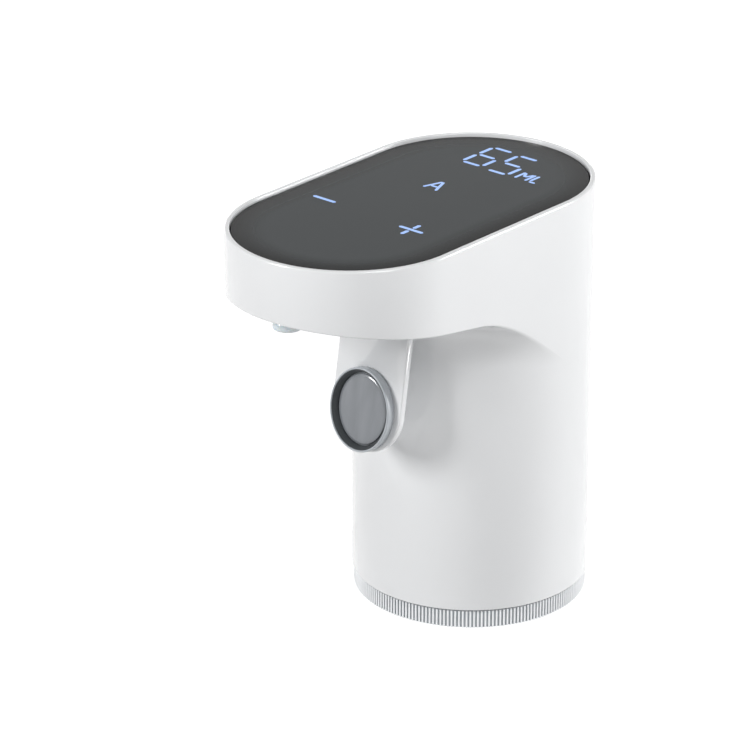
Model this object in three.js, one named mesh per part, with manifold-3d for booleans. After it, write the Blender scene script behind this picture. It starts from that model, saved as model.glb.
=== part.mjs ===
// Electric liquor dispenser that stands on a bottle neck and pours when a glass pushes its lever.
// Units are millimetres, +Z is up, the nozzle looks towards -Y and the origin is on the base plane,
// under the middle of the head. Every piece is built in the column's frame, whose Z axis is the
// column's own axis, and one group moves that frame back by half of the head's reach.
import * as THREE from 'three';
import { mergeVertices } from 'three/addons/utils/BufferGeometryUtils.js';
import Module from 'manifold-3d';

const wasm = await Module();
wasm.setup();

// Outer form
const bodyRadius = 30; // half width of the head and of the column
const headReach = 46; // from the column's axis to the centre of the head's front arc
const bodyHeight = 110;
const headDepth = 27.75; // from the top down to the head's underside, on the column's axis
const undersideTilt = 9.3; // degrees, the underside rises towards the front
const filletRadius = 14.5; // between the underside and the column
const wall = 2.3;
const ringHeight = 4.8; // the knurled ring that the dispenser stands on

// Gaps
const gap = 0.3; // between pieces that touch or are fixed to each other
const runningGap = 0.4; // round pieces that move
const overrun = 1; // how far a cutting solid runs past the face it cuts

// Touch panel and what lies under it
const lipWidth = 1.3;
const panelThickness = 2;
const panelSink = 0.5; // of the panel's face under the lip
const panelRound = 0.9; // rounded edge of the panel
const gasketThickness = 0.5;
const ledgeWidth = 2.2;
const ledgeThickness = 2;
const guideThickness = 1.7;
const boardThickness = 1.2;
const stackGap = 0.3; // between the layers under the panel
const displayWidth = 26;
const displayDepth = 17;
const displayInset = 14.4; // display centre in front of the light guide's rear end
const touchPadRadius = 4;
const touchPadSpan = 29; // between the minus pad and the plus pad
const touchPadInset = 8; // of the minus and plus pads behind the centre of the head's front arc
const modePadReach = 12.5; // in front of the column's axis

// Main board
const boardSpacing = 7.4; // from the display board's top down to the main board's underside
const mainBoardSideInset = 9.7; // of its sides from the column's inner wall
const mainBoardRearInset = 11.7;
const mainBoardFront = 23.5; // in front of the column's axis
const chipSize = 7;
const chipHeight = 1.4;
const chipShares = [[-0.45, -0.6], [0.35, -0.7], [0, 0.72]]; // of the board's half width and rear reach
const connectorSize = 6;
const connectorHeight = 3;
const ribbonWidth = 9;
const ribbonThickness = 0.4;

// Battery
const batterySideInset = 10.7; // of its sides from the column's inner wall
const batteryThickness = 9;
const batteryRoom = 7.4; // over the battery, under the main board's plugs
const batteryFoot = 37; // height of its lower end
const batteryRound = 2;
const foamThickness = 0.8;

// Charging socket
const chargeBoardWidth = 18;
const chargeBoardHeight = 18;
const chargeBoardInset = 9; // of its front from the column's inner wall
const socketHeight = 51; // of the socket's middle
const socketWidth = 8.9;
const socketDepth = 3.3;
const socketWall = 0.35;
const socketTongue = 0.8;
const socketSink = 0.9; // of its mouth under the housing's face

// Chassis and the screws that clamp it
const chassisThickness = 2;
const chassisWall = 1.5;
const chassisWallReach = 5.3; // behind the column's axis
const chassisSideInset = 8.7; // of its upright's sides from the column's inner wall
const bossRadius = 3;
const bossInset = 2.8; // of the bosses' axes from the column's inner wall
const bossLength = 9;
const bossAngles = [0, 90, 180]; // degrees round the column's axis
const screwRadius = 1.3;
const screwHeadRadius = 2.2;
const screwHeadHeight = 1.7;
const screwLength = 10;
const boardScrewRadius = 0.9;
const boardScrewSpan = 22;

// Gear pump
const gearTeeth = 10;
const gearDiameter = 10; // at the pitch circle
const gearAddendumShare = 0.8; // of the module
const gearRootShare = 1.15; // of the module
const toothShares = [0.2, 0.12, 0.055]; // half tooth at root, pitch and tip, of the tooth spacing
const gearWidth = 6.4;
const pumpReach = 7; // of the gears' axes in front of the column's axis
const pumpHalfWidth = 14;
const pumpHalfDepth = 9.6;
const pumpFoot = 39; // height of the pump's underside
const pumpFloor = 3;
const pumpLid = 3;
const portRadius = 1.3;
const portPocket = 2.6;
const barbRadius = 2;
const barbLength = 3.5;
const hoseWall = 0.7;
const outletSide = 6; // outlet barb to the right of the column's axis
const outletReach = 20.2; // and in front of it
const idlerPinRadius = 1;
const pumpScrewInset = 2.6;

// Motor
const motorRadius = 12.2;
const motorRoom = 7.7; // over the motor, under the main board's plugs
const motorWall = 1;
const motorCapHeight = 3;
const magnetThickness = 1.4;
const rotorRadius = 8.6;
const rotorLengthShare = 0.6; // of the room inside the motor
const rotorSlots = 3;
const rotorSlotWidth = 2.4;
const shaftRadius = 1;
const sealRadius = 3;
const sealThickness = 1.2;
const leadRadius = 0.8;

// Outlet hose and nozzle
const nozzleReach = 68.3; // in front of the column's axis
const nozzleRadius = 3.6;
const nozzleWall = 0.8;
const nozzleDrop = 2.8; // below the underside
const nozzleFlange = 4.6;
const nozzleFlangeThickness = 1.4;
const nozzleRise = 6.6; // height of the nozzle's body above the inner floor
const nozzleSealThickness = 0.8;
const nozzleTurn = 30; // degrees, its barb looks back and to the right
const hoseBendHeight = 10; // of the bend from the column into the head
const hoseClearance = 1; // over the head's inner floor

// Cup lever
const leverWidth = 21.7;
const leverThickness = 2;
const leverFront = 35.7; // its front face at the underside, in front of the column's axis
const hingeRise = 5.5; // hinge axis above the underside
const padDrop = 33.5; // centre of the pad below the hinge axis
const leverHubRadius = 2.8;
const leverSlotSpan = 7; // of the slot in the underside, front to back
const leverArmWidth = 8;
const leverArmLength = 5;
const leverGapHalf = 3.4; // half width of the spring's space in the hub
const pinRadius = 1.25;
const lugWidth = 3;
const lugRadius = 3.2;
const springWire = 0.3;
const springRadius = 2.1;
const springTurns = 3;
const padHalfWidth = 9.3;
const padHalfHeight = 10.6;
const padThickness = 2.5;
const padRim = 0.5;
const padPocket = 2.1;
const linerWall = 0.9;
const padFaceThickness = 0.4;

// Micro switch
const switchWidth = 12.8;
const switchHeight = 5.8;
const switchDepth = 6.5;
const plungerRadius = 1;
const plungerLength = 2.4; // outside the switch
const plungerSocket = 1.6;

// Base: knurled ring, base plate, bottle seat
const knurlPitch = 1.9; // every second rib of the real ring
const knurlDepth = 0.35;
const ringInset = 0.5; // of the ring's face inside the column's face
const ringBand = 9; // width of the ring's underside
const collarWall = 1.8;
const lugCount = 3;
const bayonetLug = 1.6; // how far each lug stands out
const bayonetLugHeight = 1;
const bayonetLugAngle = 24; // degrees of the circle
const bayonetTurn = 30; // degrees between locked and free
const bayonetPlay = 4; // degrees that a notch is wider than its lug
const basePlateThickness = 2;
const seatInset = 10.5; // of the neck cavity inside the column's face
const seatWall = 2.2;
const seatPlateHeight = 26; // underside of the seat's plate
const seatPlateThickness = 2.4;
const neckSealReach = 2.3; // of the seal into the neck cavity
const neckSealThickness = 4;

// Stopper, stem and vent
const stopperTop = 10.2; // radius
const stopperTip = 8.6; // radius
const stopperFoot = 7.5; // height of its lower end
const stopperRibs = 3;
const stopperRibDepth = 0.7;
const stemRadius = 3;
const stemFoot = 2; // height of its lower end
const stemFlangeRadius = 3.9;
const stemFlangeThickness = 1.5;
const stemBarbHeight = 4;
const ventReach = 6.4; // of the vent behind the column's axis
const ventBore = 0.9;
const ventRadius = 2.2;
const ventHeight = 2.2;

// How finely round shapes are cut
const bodySides = 48;
const roundSides = 20;
const smallSides = 12;
const hoseSides = 8;
const hoseSteps = 26;
const leadSides = 6;
const leadSteps = 6;
const springSides = 5;
const springSteps = 8; // per turn
const filletSteps = 8;
const panelEdgeSteps = 3;
const cornerSides = 3;
const sectorSides = 6;
const socketSides = 4;
const mergeDistance = 1e-4;

// Derived heights and radii
const tilt = undersideTilt * Math.PI / 180;
const innerRadius = bodyRadius - wall;
const undersideHeight = bodyHeight - headDepth;
const columnFoot = ringHeight + runningGap;
const pocketRadius = bodyRadius - lipWidth;
const panelRadius = pocketRadius - gap;
const panelTop = bodyHeight - panelSink;
const gasketTop = panelTop - panelThickness - stackGap;
const ledgeTop = gasketTop - gasketThickness - stackGap;
const ledgeRadius = innerRadius - ledgeWidth;
const guideRadius = ledgeRadius - 2 * gap;
const guideTop = panelTop - panelThickness - stackGap;
const displayBoardTop = guideTop - guideThickness - stackGap;
const displayOffset = guideRadius - displayInset; // behind the column's axis
const touchPadReach = headReach - touchPadInset;
const mainBoardHeight = displayBoardTop - boardSpacing;
const mainBoardHalfWidth = innerRadius - mainBoardSideInset;
const mainBoardRear = innerRadius - mainBoardRearInset;
const plugFoot = mainBoardHeight - connectorHeight;
const batteryWidth = 2 * (innerRadius - batterySideInset);
const batteryHeight = plugFoot - batteryRoom - batteryFoot;
const chargeBoardReach = innerRadius - chargeBoardInset;
const chassisHalfWidth = innerRadius - chassisSideInset;
const bossCircle = innerRadius - bossInset;
const gearModule = gearDiameter / gearTeeth;
const seatPlateTop = seatPlateHeight + seatPlateThickness;
const chassisFoot = seatPlateTop + gap;
const chassisTop = chassisFoot + chassisThickness;
const bossFoot = chassisTop + gap;
const chassisWallTop = mainBoardHeight - gap;
const chamberFoot = pumpFoot + pumpFloor;
const chamberTop = chamberFoot + gearWidth + 2 * gap;
const pumpGasketFoot = chamberTop + gap;
const pumpCoverFoot = pumpGasketFoot + gasketThickness + gap;
const pumpCoverTop = pumpCoverFoot + pumpLid;
const motorFoot = pumpCoverTop + gap;
const motorTop = plugFoot - motorRoom - motorCapHeight - gap;
const motorLength = motorTop - motorFoot;
const rotorRoom = motorLength - motorWall - motorCapHeight;
const rotorLength = rotorRoom * rotorLengthShare;
const pitchRadius = gearDiameter / 2;
const chamberRadius = pitchRadius + gearModule * gearAddendumShare + gap;
const hoseBore = barbRadius + runningGap;
const hoseRadius = hoseBore + hoseWall;
const foamFront = chassisWallReach + chassisWall + gap;
const batteryFront = foamFront + foamThickness + gap;
const ringRadius = bodyRadius - ringInset;
const ringBore = ringRadius - ringBand;
const seatCavityRadius = bodyRadius - seatInset;
const neckSealBore = seatCavityRadius - neckSealReach;
const basePlateFoot = columnFoot + gap;
const basePlateTop = basePlateFoot + basePlateThickness;
const collarTop = basePlateTop + runningGap + bayonetLugHeight;

// Height of the underside's plane at a distance in front of the column's axis
const undersideAt = (reach) => undersideHeight + reach * Math.tan(tilt);

// Geometry to solid: one closed mesh with merged corners, its faces pointing out
function solid(geometry) {
  const bare = geometry.clone();
  for (const name of Object.keys(bare.attributes)) if (name !== 'position') bare.deleteAttribute(name);
  const merged = mergeVertices(bare, mergeDistance);
  const corners = merged.attributes.position;
  const kept = [];
  let volume = 0;
  for (let i = 0; i < merged.index.count; i += 3) {
    const [a, b, c] = [0, 1, 2].map((k) => merged.index.getX(i + k));
    if (a === b || b === c || a === c) continue;
    kept.push(a, b, c);
    const [p, q, r] = [a, b, c].map((k) => new THREE.Vector3().fromBufferAttribute(corners, k));
    volume += p.dot(q.cross(r));
  }
  if (volume < 0) kept.reverse();
  return new wasm.Manifold(new wasm.Mesh({
    numProp: 3,
    vertProperties: Float32Array.from(corners.array),
    triVerts: Uint32Array.from(kept),
  }));
}

// Solid back to a geometry with flat faces
function geometryOf(manifold) {
  const mesh = manifold.getMesh();
  const geometry = new THREE.BufferGeometry();
  geometry.setAttribute('position', new THREE.BufferAttribute(Float32Array.from(mesh.vertProperties), 3));
  geometry.setIndex(new THREE.BufferAttribute(Uint32Array.from(mesh.triVerts), 1));
  const flat = geometry.toNonIndexed();
  flat.computeVertexNormals();
  return flat;
}

const join = (...solids) => solids.reduce((sum, next) => sum.add(next));
const cut = (body, ...tools) => tools.reduce((rest, tool) => rest.subtract(tool), body);

// Turned solid about a vertical axis; the profile runs [radius, height] round a closed outline
function turned(profile, sides = roundSides, x = 0, y = 0) {
  const points = profile.map(([radius, height]) => new THREE.Vector2(radius, height));
  const first = points[0];
  const last = points[points.length - 1];
  if (first.x !== 0 || last.x !== 0) points.push(first.clone());
  const geometry = new THREE.LatheGeometry(points, sides);
  geometry.rotateX(Math.PI / 2);
  geometry.translate(x, y, 0);
  return solid(geometry);
}

// Vertical cylinder, and a vertical tube with a bore
function cylinder(radius, foot, top, x = 0, y = 0, sides = roundSides) {
  return turned([[0, foot], [radius, foot], [radius, top], [0, top]], sides, x, y);
}

function sleeve(radius, bore, foot, top, x = 0, y = 0, sides = roundSides) {
  return turned([[bore, foot], [radius, foot], [radius, top], [bore, top]], sides, x, y);
}

// Cylinder along X or Y between two places on that axis
function rodX(radius, from, to, y = 0, z = 0, sides = smallSides) {
  const geometry = new THREE.CylinderGeometry(radius, radius, to - from, sides);
  geometry.rotateZ(Math.PI / 2);
  geometry.translate((from + to) / 2, y, z);
  return solid(geometry);
}

function rodY(radius, from, to, x = 0, z = 0, sides = smallSides) {
  const geometry = new THREE.CylinderGeometry(radius, radius, to - from, sides);
  geometry.translate(x, (from + to) / 2, z);
  return solid(geometry);
}

function block(low, high) {
  const size = high.map((value, axis) => value - low[axis]);
  const geometry = new THREE.BoxGeometry(...size);
  geometry.translate(...low.map((value, axis) => value + size[axis] / 2));
  return solid(geometry);
}

// Shape with round ends over the column and the head's front arc
function stadiumShape(radius) {
  const shape = new THREE.Shape();
  shape.absarc(0, 0, radius, 0, Math.PI, false);
  shape.absarc(0, -headReach, radius, Math.PI, 2 * Math.PI, false);
  shape.closePath();
  return shape;
}

// Upright solid of a flat shape; three.js cuts an arc into twice the segments that it is given
function extruded(shape, foot, top, arcSides = bodySides / 2) {
  const settings = { depth: top - foot, bevelEnabled: false, curveSegments: Math.ceil(arcSides / 2) };
  const geometry = new THREE.ExtrudeGeometry(shape, settings);
  geometry.translate(0, 0, foot);
  return solid(geometry);
}

const stadium = (radius, foot, top, arcSides) => extruded(stadiumShape(radius), foot, top, arcSides);

// Moves a shape whose zero height is the sloped underside into its place
function onUnderside(geometry) {
  const slope = new THREE.Matrix4().set(
    1, 0, 0, 0,
    0, 1, 0, 0,
    0, -Math.tan(tilt), 1, undersideHeight,
    0, 0, 0, 1,
  );
  return geometry.applyMatrix4(slope);
}

// Block under or over the sloped underside, as wide as the whole head
function underBlock(low, high) {
  const span = 2 * (headReach + 2 * bodyRadius);
  const geometry = new THREE.BoxGeometry(span, span, high - low);
  geometry.translate(0, 0, (low + high) / 2);
  return solid(onUnderside(geometry));
}

// The same route, run on straight past both of its ends
function lengthened(points, distance) {
  const past = (end, before) => {
    const [tip, inner] = [end, before].map((point) => new THREE.Vector3(...point));
    return tip.clone().addScaledVector(tip.clone().sub(inner).normalize(), distance).toArray();
  };
  return [past(points[0], points[1]), ...points, past(points.at(-1), points.at(-2))];
}

// Rod of round section along a smooth curve
function alongCurve(points, radius, steps, sides = hoseSides) {
  const places = points.map((point) => new THREE.Vector3(...point));
  const curve = new THREE.CatmullRomCurve3(places, false, 'centripetal');
  const corners = Array.from({ length: sides }, (_, i) => {
    const angle = i / sides * 2 * Math.PI;
    return new THREE.Vector2(radius * Math.cos(angle), radius * Math.sin(angle));
  });
  const settings = { extrudePath: curve, steps, bevelEnabled: false };
  return solid(new THREE.ExtrudeGeometry(new THREE.Shape(corners), settings));
}

// Materials, one maker for all: colour, roughness and metalness
function finish(colour, roughness, metalness = 0) {
  return new THREE.MeshStandardMaterial({ color: colour, roughness, metalness });
}

const gloss = () => finish(0xf4f5f6, 0.22);
const smokedGlass = () => finish(0x505457, 0.15);
const darkRubber = () => finish(0x3d4144, 0.7);
const clearSilicone = () => finish(0xe3e6e8, 0.5);
const steel = () => finish(0xb9bdc1, 0.3, 1);
const board = () => finish(0x1f6b45, 0.5);
const innerPlastic = () => finish(0x8d9296, 0.5);
const frosted = () => finish(0xeceff2, 0.6);
const cellWrap = () => finish(0x9fb4c9, 0.4);
const gearPlastic = () => finish(0xe8e2d0, 0.45);

const dispenser = new THREE.Group();
const columnFrame = new THREE.Group();
columnFrame.position.y = headReach / 2;
dispenser.add(columnFrame);

function place(name, manifold, material, parent = columnFrame) {
  const mesh = new THREE.Mesh(geometryOf(manifold), material);
  mesh.name = name;
  parent.add(mesh);
  return mesh;
}

// Places round the column's axis
const polar = (radius, degrees) => {
  const angle = degrees * Math.PI / 180;
  return [radius * Math.cos(angle), radius * Math.sin(angle)];
};
const bossPlaces = bossAngles.map((degrees) => polar(bossCircle, degrees));

// Lever frame: X along the hinge, -Z down the tongue, -Y out of its front face
const leverHalf = leverThickness / 2;
const hingeReach = leverFront - hingeRise * Math.sin(tilt) - leverHalf * Math.cos(tilt);
const hingeHeight = undersideAt(leverFront) + hingeRise * Math.cos(tilt) - leverHalf * Math.sin(tilt);
const leverFrame = new THREE.Group();
leverFrame.position.set(0, -hingeReach, hingeHeight);
leverFrame.rotation.x = -tilt;
columnFrame.add(leverFrame);
const lugInner = leverWidth / 2 + runningGap;
const lugOuter = lugInner + lugWidth;

// Micro switch place, in the column's frame: its plunger meets the lever's arm
const armTip = leverArmLength - plungerRadius;
const plungerHeight = hingeHeight + armTip * Math.cos(tilt) + leverHalf * Math.sin(tilt);
const plungerFace = hingeReach - armTip * Math.sin(tilt) + leverHalf * Math.cos(tilt) + gap;
const switchFace = plungerFace + plungerLength;
const switchFoot = plungerHeight - switchHeight / 2;

// Housing: column, head and fillet in one wall, open at the base and under the panel
function housing() {
  const head = cut(stadium(bodyRadius, 0, bodyHeight), underBlock(-2 * bodyHeight, 0));
  const column = cylinder(bodyRadius, columnFoot, undersideHeight + filletRadius, 0, 0, bodySides);
  const profile = [new THREE.Vector2(0, -filletRadius), new THREE.Vector2(bodyRadius, -filletRadius)];
  for (let step = 1; step <= filletSteps; step += 1) {
    const angle = step / filletSteps * Math.PI / 2;
    const radius = bodyRadius + filletRadius * (1 - Math.cos(angle));
    profile.push(new THREE.Vector2(radius, filletRadius * (Math.sin(angle) - 1)));
  }
  profile.push(new THREE.Vector2(bodyRadius + filletRadius, overrun), new THREE.Vector2(0, overrun));
  const filletGeometry = new THREE.LatheGeometry(profile, bodySides);
  filletGeometry.rotateX(Math.PI / 2);
  const fillet = solid(onUnderside(filletGeometry)).intersect(stadium(bodyRadius, 0, bodyHeight));
  const outer = join(head, column, fillet);

  const headRoom = cut(stadium(innerRadius, 0, ledgeTop - ledgeThickness), underBlock(-2 * bodyHeight, wall));
  const columnBore = cylinder(innerRadius, 0, ledgeTop - ledgeThickness, 0, 0, bodySides);
  const ledgeRoom = stadium(ledgeRadius, ledgeTop - ledgeThickness - overrun, ledgeTop + overrun);
  const panelPocket = stadium(pocketRadius, ledgeTop, bodyHeight + overrun);
  let shell = cut(outer, headRoom, columnBore, ledgeRoom, panelPocket);

  for (const [x, y] of bossPlaces) {
    const boss = cylinder(bossRadius, bossFoot, bossFoot + bossLength, x, y, smallSides);
    const boreTop = bossFoot + bossLength - overrun;
    const bore = cylinder(screwRadius + gap, bossFoot - overrun, boreTop, x, y, smallSides);
    shell = cut(shell.add(boss), bore);
  }

  for (const side of [-1, 1]) {
    const edges = [side * lugInner, side * lugOuter].sort((a, b) => a - b);
    const web = block(
      [edges[0], -hingeReach - lugRadius, undersideAt(hingeReach + lugRadius) + wall / 2],
      [edges[1], -hingeReach + lugRadius, hingeHeight],
    );
    const eye = rodX(lugRadius, edges[0], edges[1], -hingeReach, hingeHeight);
    const hole = rodX(pinRadius + gap, edges[0] - overrun, edges[1] + overrun, -hingeReach, hingeHeight);
    shell = cut(join(shell, web, eye), hole);
  }

  const slotHalf = leverWidth / 2 + runningGap;
  const slot = block(
    [-slotHalf, -leverFront - (leverSlotSpan - leverThickness) / 2, undersideHeight - filletRadius],
    [slotHalf, -leverFront + (leverSlotSpan + leverThickness) / 2, undersideAt(leverFront) + 2 * wall],
  );
  const shelf = block(
    [-switchWidth / 2, -switchFace - switchDepth, undersideAt(switchFace + switchDepth) + wall / 2],
    [switchWidth / 2, -switchFace - leverThickness, switchFoot - gap],
  );
  const floor = undersideAt(nozzleReach);
  const nozzleHole = cylinder(nozzleRadius + gap, floor - 2 * wall, floor + 3 * wall, 0, -nozzleReach);
  const socketHole = socketShape(
    socketWidth / 2 + gap, socketDepth / 2 + gap, innerRadius / 2, bodyRadius + overrun,
  );
  shell = cut(shell.add(shelf), slot, nozzleHole, socketHole);
  return shell;
}

// Flat outline with round ends, standing along Y: the charging socket and its window
function socketShape(halfWidth, halfHeight, from, to) {
  const shape = new THREE.Shape();
  const straight = halfWidth - halfHeight;
  shape.absarc(straight, 0, halfHeight, -Math.PI / 2, Math.PI / 2, false);
  shape.absarc(-straight, 0, halfHeight, Math.PI / 2, 3 * Math.PI / 2, false);
  shape.closePath();
  const settings = { depth: to - from, bevelEnabled: false, curveSegments: socketSides };
  const geometry = new THREE.ExtrudeGeometry(shape, settings);
  geometry.rotateX(Math.PI / 2);
  geometry.translate(0, to, socketHeight);
  return solid(geometry);
}

// Touch panel with a rounded upper edge
function touchPanel() {
  const flat = panelTop - panelRound;
  let body = stadium(panelRadius, panelTop - panelThickness, flat);
  for (let step = 0; step < panelEdgeSteps; step += 1) {
    const [lower, upper] = [step, step + 1].map((count) => count / panelEdgeSteps * Math.PI / 2);
    const radii = [lower, upper].map((angle) => panelRadius - panelRound * (1 - Math.cos(angle)));
    const heights = [lower, upper].map((angle) => flat + panelRound * Math.sin(angle));
    body = body.add(taperedStadium(radii, heights));
  }
  return body;
}

// Layer with round ends whose upper outline is drawn in
function taperedStadium([lowRadius, highRadius], [foot, top]) {
  const count = bodySides / 2;
  const rim = (radius, height) => {
    const points = [];
    for (const [centre, start] of [[0, 0], [-headReach, Math.PI]]) {
      for (let step = 0; step <= count; step += 1) {
        const angle = start + step / count * Math.PI;
        points.push([radius * Math.cos(angle), centre + radius * Math.sin(angle), height]);
      }
    }
    return points;
  };
  const low = rim(lowRadius, foot);
  const high = rim(highRadius, top);
  const positions = [...low, ...high, [0, -headReach / 2, foot], [0, -headReach / 2, top]].flat();
  const total = low.length;
  const faces = [];
  for (let i = 0; i < total; i += 1) {
    const next = (i + 1) % total;
    faces.push(i, next, total + next, i, total + next, total + i);
    faces.push(2 * total, next, i, 2 * total + 1, total + i, total + next);
  }
  const geometry = new THREE.BufferGeometry();
  geometry.setAttribute('position', new THREE.Float32BufferAttribute(positions, 3));
  geometry.setIndex(faces);
  return solid(geometry);
}

const touchPads = {
  touch_pad_minus: [-touchPadSpan / 2, -touchPadReach],
  touch_pad_plus: [touchPadSpan / 2, -touchPadReach],
  touch_pad_mode: [0, -modePadReach],
};

function displayStack() {
  const gasket = cut(
    stadium(panelRadius, ledgeTop + gap, gasketTop, roundSides),
    stadium(ledgeRadius, ledgeTop - overrun, gasketTop + overrun, roundSides),
  );
  const displayLow = [-displayWidth / 2, displayOffset - displayDepth / 2];
  const displayHigh = [displayWidth / 2, displayOffset + displayDepth / 2];
  const window = block(
    [displayLow[0] - gap, displayLow[1] - gap, displayBoardTop],
    [displayHigh[0] + gap, displayHigh[1] + gap, guideTop + overrun],
  );
  let guide = stadium(guideRadius, displayBoardTop + gap, guideTop, roundSides).subtract(window);
  for (const [name, [x, y]] of Object.entries(touchPads)) {
    guide = guide.subtract(cylinder(touchPadRadius + gap, displayBoardTop, guideTop + overrun, x, y));
    place(name, cylinder(touchPadRadius, displayBoardTop + gap, guideTop, x, y), darkRubber());
  }
  place('panel_gasket', gasket, darkRubber());
  place('light_guide', guide, frosted());
  const circuit = stadium(guideRadius, displayBoardTop - boardThickness, displayBoardTop, roundSides);
  place('display_board', circuit, board());
  place('digit_module', block(
    [...displayLow, displayBoardTop + gap],
    [...displayHigh, guideTop],
  ), frosted());
}

// Main board with its chips above and its plugs below
function mainBoard() {
  const top = mainBoardHeight + boardThickness;
  let body = block(
    [-mainBoardHalfWidth, -mainBoardFront, mainBoardHeight],
    [mainBoardHalfWidth, mainBoardRear, top],
  );
  for (const [xShare, yShare] of chipShares) {
    const x = xShare * mainBoardHalfWidth;
    const y = yShare * mainBoardRear;
    body = body.add(block(
      [x - chipSize / 2, y - chipSize / 2, top - overrun],
      [x + chipSize / 2, y + chipSize / 2, top + chipHeight],
    ));
  }
  for (const [x, y] of leadPlugs) {
    body = body.add(block(
      [x - connectorSize / 2, y - connectorSize / 2, plugFoot],
      [x + connectorSize / 2, y + connectorSize / 2, mainBoardHeight + boardThickness / 2],
    ));
  }
  for (const side of [-1, 1]) {
    const x = side * boardScrewSpan / 2;
    const y = chassisWallReach + chassisWall / 2;
    body = body.subtract(cylinder(
      boardScrewRadius + gap, mainBoardHeight - overrun, top + overrun, x, y, smallSides,
    ));
  }
  return body;
}

const motorSide = -pitchRadius; // the motor drives the left gear
const leadPlugs = [[motorSide, -pumpReach], [0, batteryFront + batteryThickness / 2]];

function battery() {
  const shape = new THREE.Shape();
  const [w, h, r] = [batteryWidth / 2, batteryThickness / 2, batteryRound];
  shape.absarc(w - r, h - r, r, 0, Math.PI / 2, false);
  shape.absarc(r - w, h - r, r, Math.PI / 2, Math.PI, false);
  shape.absarc(r - w, r - h, r, Math.PI, 3 * Math.PI / 2, false);
  shape.absarc(w - r, r - h, r, 3 * Math.PI / 2, 2 * Math.PI, false);
  shape.closePath();
  const cell = extruded(shape, batteryFoot, batteryFoot + batteryHeight, cornerSides);
  return cell.translate([0, batteryFront + h, 0]);
}

// Chassis: a floor clamped over the bottle seat, a wall between pump and battery, pump pillars
function chassis() {
  const floor = cylinder(innerRadius - runningGap, chassisFoot, chassisTop, 0, 0, bodySides / 2);
  const upright = block(
    [-chassisHalfWidth, chassisWallReach, chassisFoot],
    [chassisHalfWidth, chassisWallReach + chassisWall, chassisWallTop],
  );
  let body = floor.add(upright);
  const pillar = pumpHalfWidth - 2 * hoseRadius;
  for (const side of [-1, 1]) {
    const edges = [side * pillar / 2, side * pumpHalfWidth].sort((a, b) => a - b);
    body = body.add(block(
      [edges[0], -pumpReach - pumpHalfDepth / 2, chassisTop - overrun],
      [edges[1], -pumpReach + pumpHalfDepth / 2, pumpFoot - gap],
    ));
    const x = side * boardScrewSpan / 2;
    const y = chassisWallReach + chassisWall / 2;
    const post = cylinder(bossRadius, batteryFoot + batteryHeight + gap, chassisWallTop, x, y, smallSides);
    const bore = cylinder(
      boardScrewRadius + gap, chassisWallTop - screwLength / 2, chassisWallTop + overrun, x, y, smallSides,
    );
    body = body.add(post).subtract(bore);
  }
  for (const [x, y] of bossPlaces) {
    body = body.subtract(cylinder(
      screwRadius + gap, chassisFoot - overrun, chassisTop + overrun, x, y, smallSides,
    ));
  }
  const stemHole = cylinder(stemFlangeRadius + gap, chassisFoot - overrun, chassisTop + overrun, 0, 0);
  const ventHole = cylinder(ventRadius + gap, chassisFoot - overrun, chassisTop + overrun, 0, ventReach);
  return cut(body, stemHole, ventHole);
}

// Charging board and socket
function chargeBoard() {
  const half = chargeBoardHeight / 2;
  return block(
    [-chargeBoardWidth / 2, chargeBoardReach, socketHeight - half],
    [chargeBoardWidth / 2, chargeBoardReach + boardThickness, socketHeight + half],
  );
}

function chargeSocket() {
  const from = chargeBoardReach + boardThickness + gap;
  const to = bodyRadius - socketSink;
  const [w, h] = [socketWidth / 2, socketDepth / 2];
  const outer = socketShape(w, h, from, to);
  const pocket = socketShape(w - socketWall, h - socketWall, from + 2 * socketWall, to + overrun);
  const tongueReach = to - 2 * socketTongue;
  const tongueHalf = w - h;
  const tongue = block(
    [-tongueHalf, from + socketWall, socketHeight - socketTongue / 2],
    [tongueHalf, tongueReach, socketHeight + socketTongue / 2],
  );
  return outer.subtract(pocket).add(tongue);
}

// Gear pump
function gearOutline(offset) {
  const spacing = 2 * Math.PI / gearTeeth;
  const radii = [
    pitchRadius - gearModule * gearRootShare,
    pitchRadius,
    pitchRadius + gearModule * gearAddendumShare,
  ];
  const shape = new THREE.Shape();
  const points = [];
  for (let tooth = 0; tooth < gearTeeth; tooth += 1) {
    const centre = offset + tooth * spacing;
    const rising = radii.map((radius, i) => [radius, centre - toothShares[i] * spacing]);
    const falling = radii.map((radius, i) => [radius, centre + toothShares[i] * spacing]).reverse();
    points.push(...rising, ...falling);
  }
  points.forEach(([radius, angle], i) => {
    const corner = [radius * Math.cos(angle), radius * Math.sin(angle)];
    if (i === 0) shape.moveTo(...corner);
    else shape.lineTo(...corner);
  });
  shape.closePath();
  return shape;
}

function gear(side, offset, bore) {
  const blank = extruded(gearOutline(offset), chamberFoot + gap, chamberFoot + gap + gearWidth, 1);
  const hole = cylinder(bore, chamberFoot, chamberTop, 0, 0, smallSides);
  return blank.subtract(hole).translate([side * pitchRadius, -pumpReach, 0]);
}

const pumpLow = [-pumpHalfWidth, -pumpReach - pumpHalfDepth];
const pumpHigh = [pumpHalfWidth, -pumpReach + pumpHalfDepth];
const pumpScrewPlaces = [-1, 1].flatMap((sideX) => [-1, 1].map((sideY) => [
  sideX * (pumpHalfWidth - pumpScrewInset),
  -pumpReach + sideY * (pumpHalfDepth - pumpScrewInset),
]));

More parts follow.
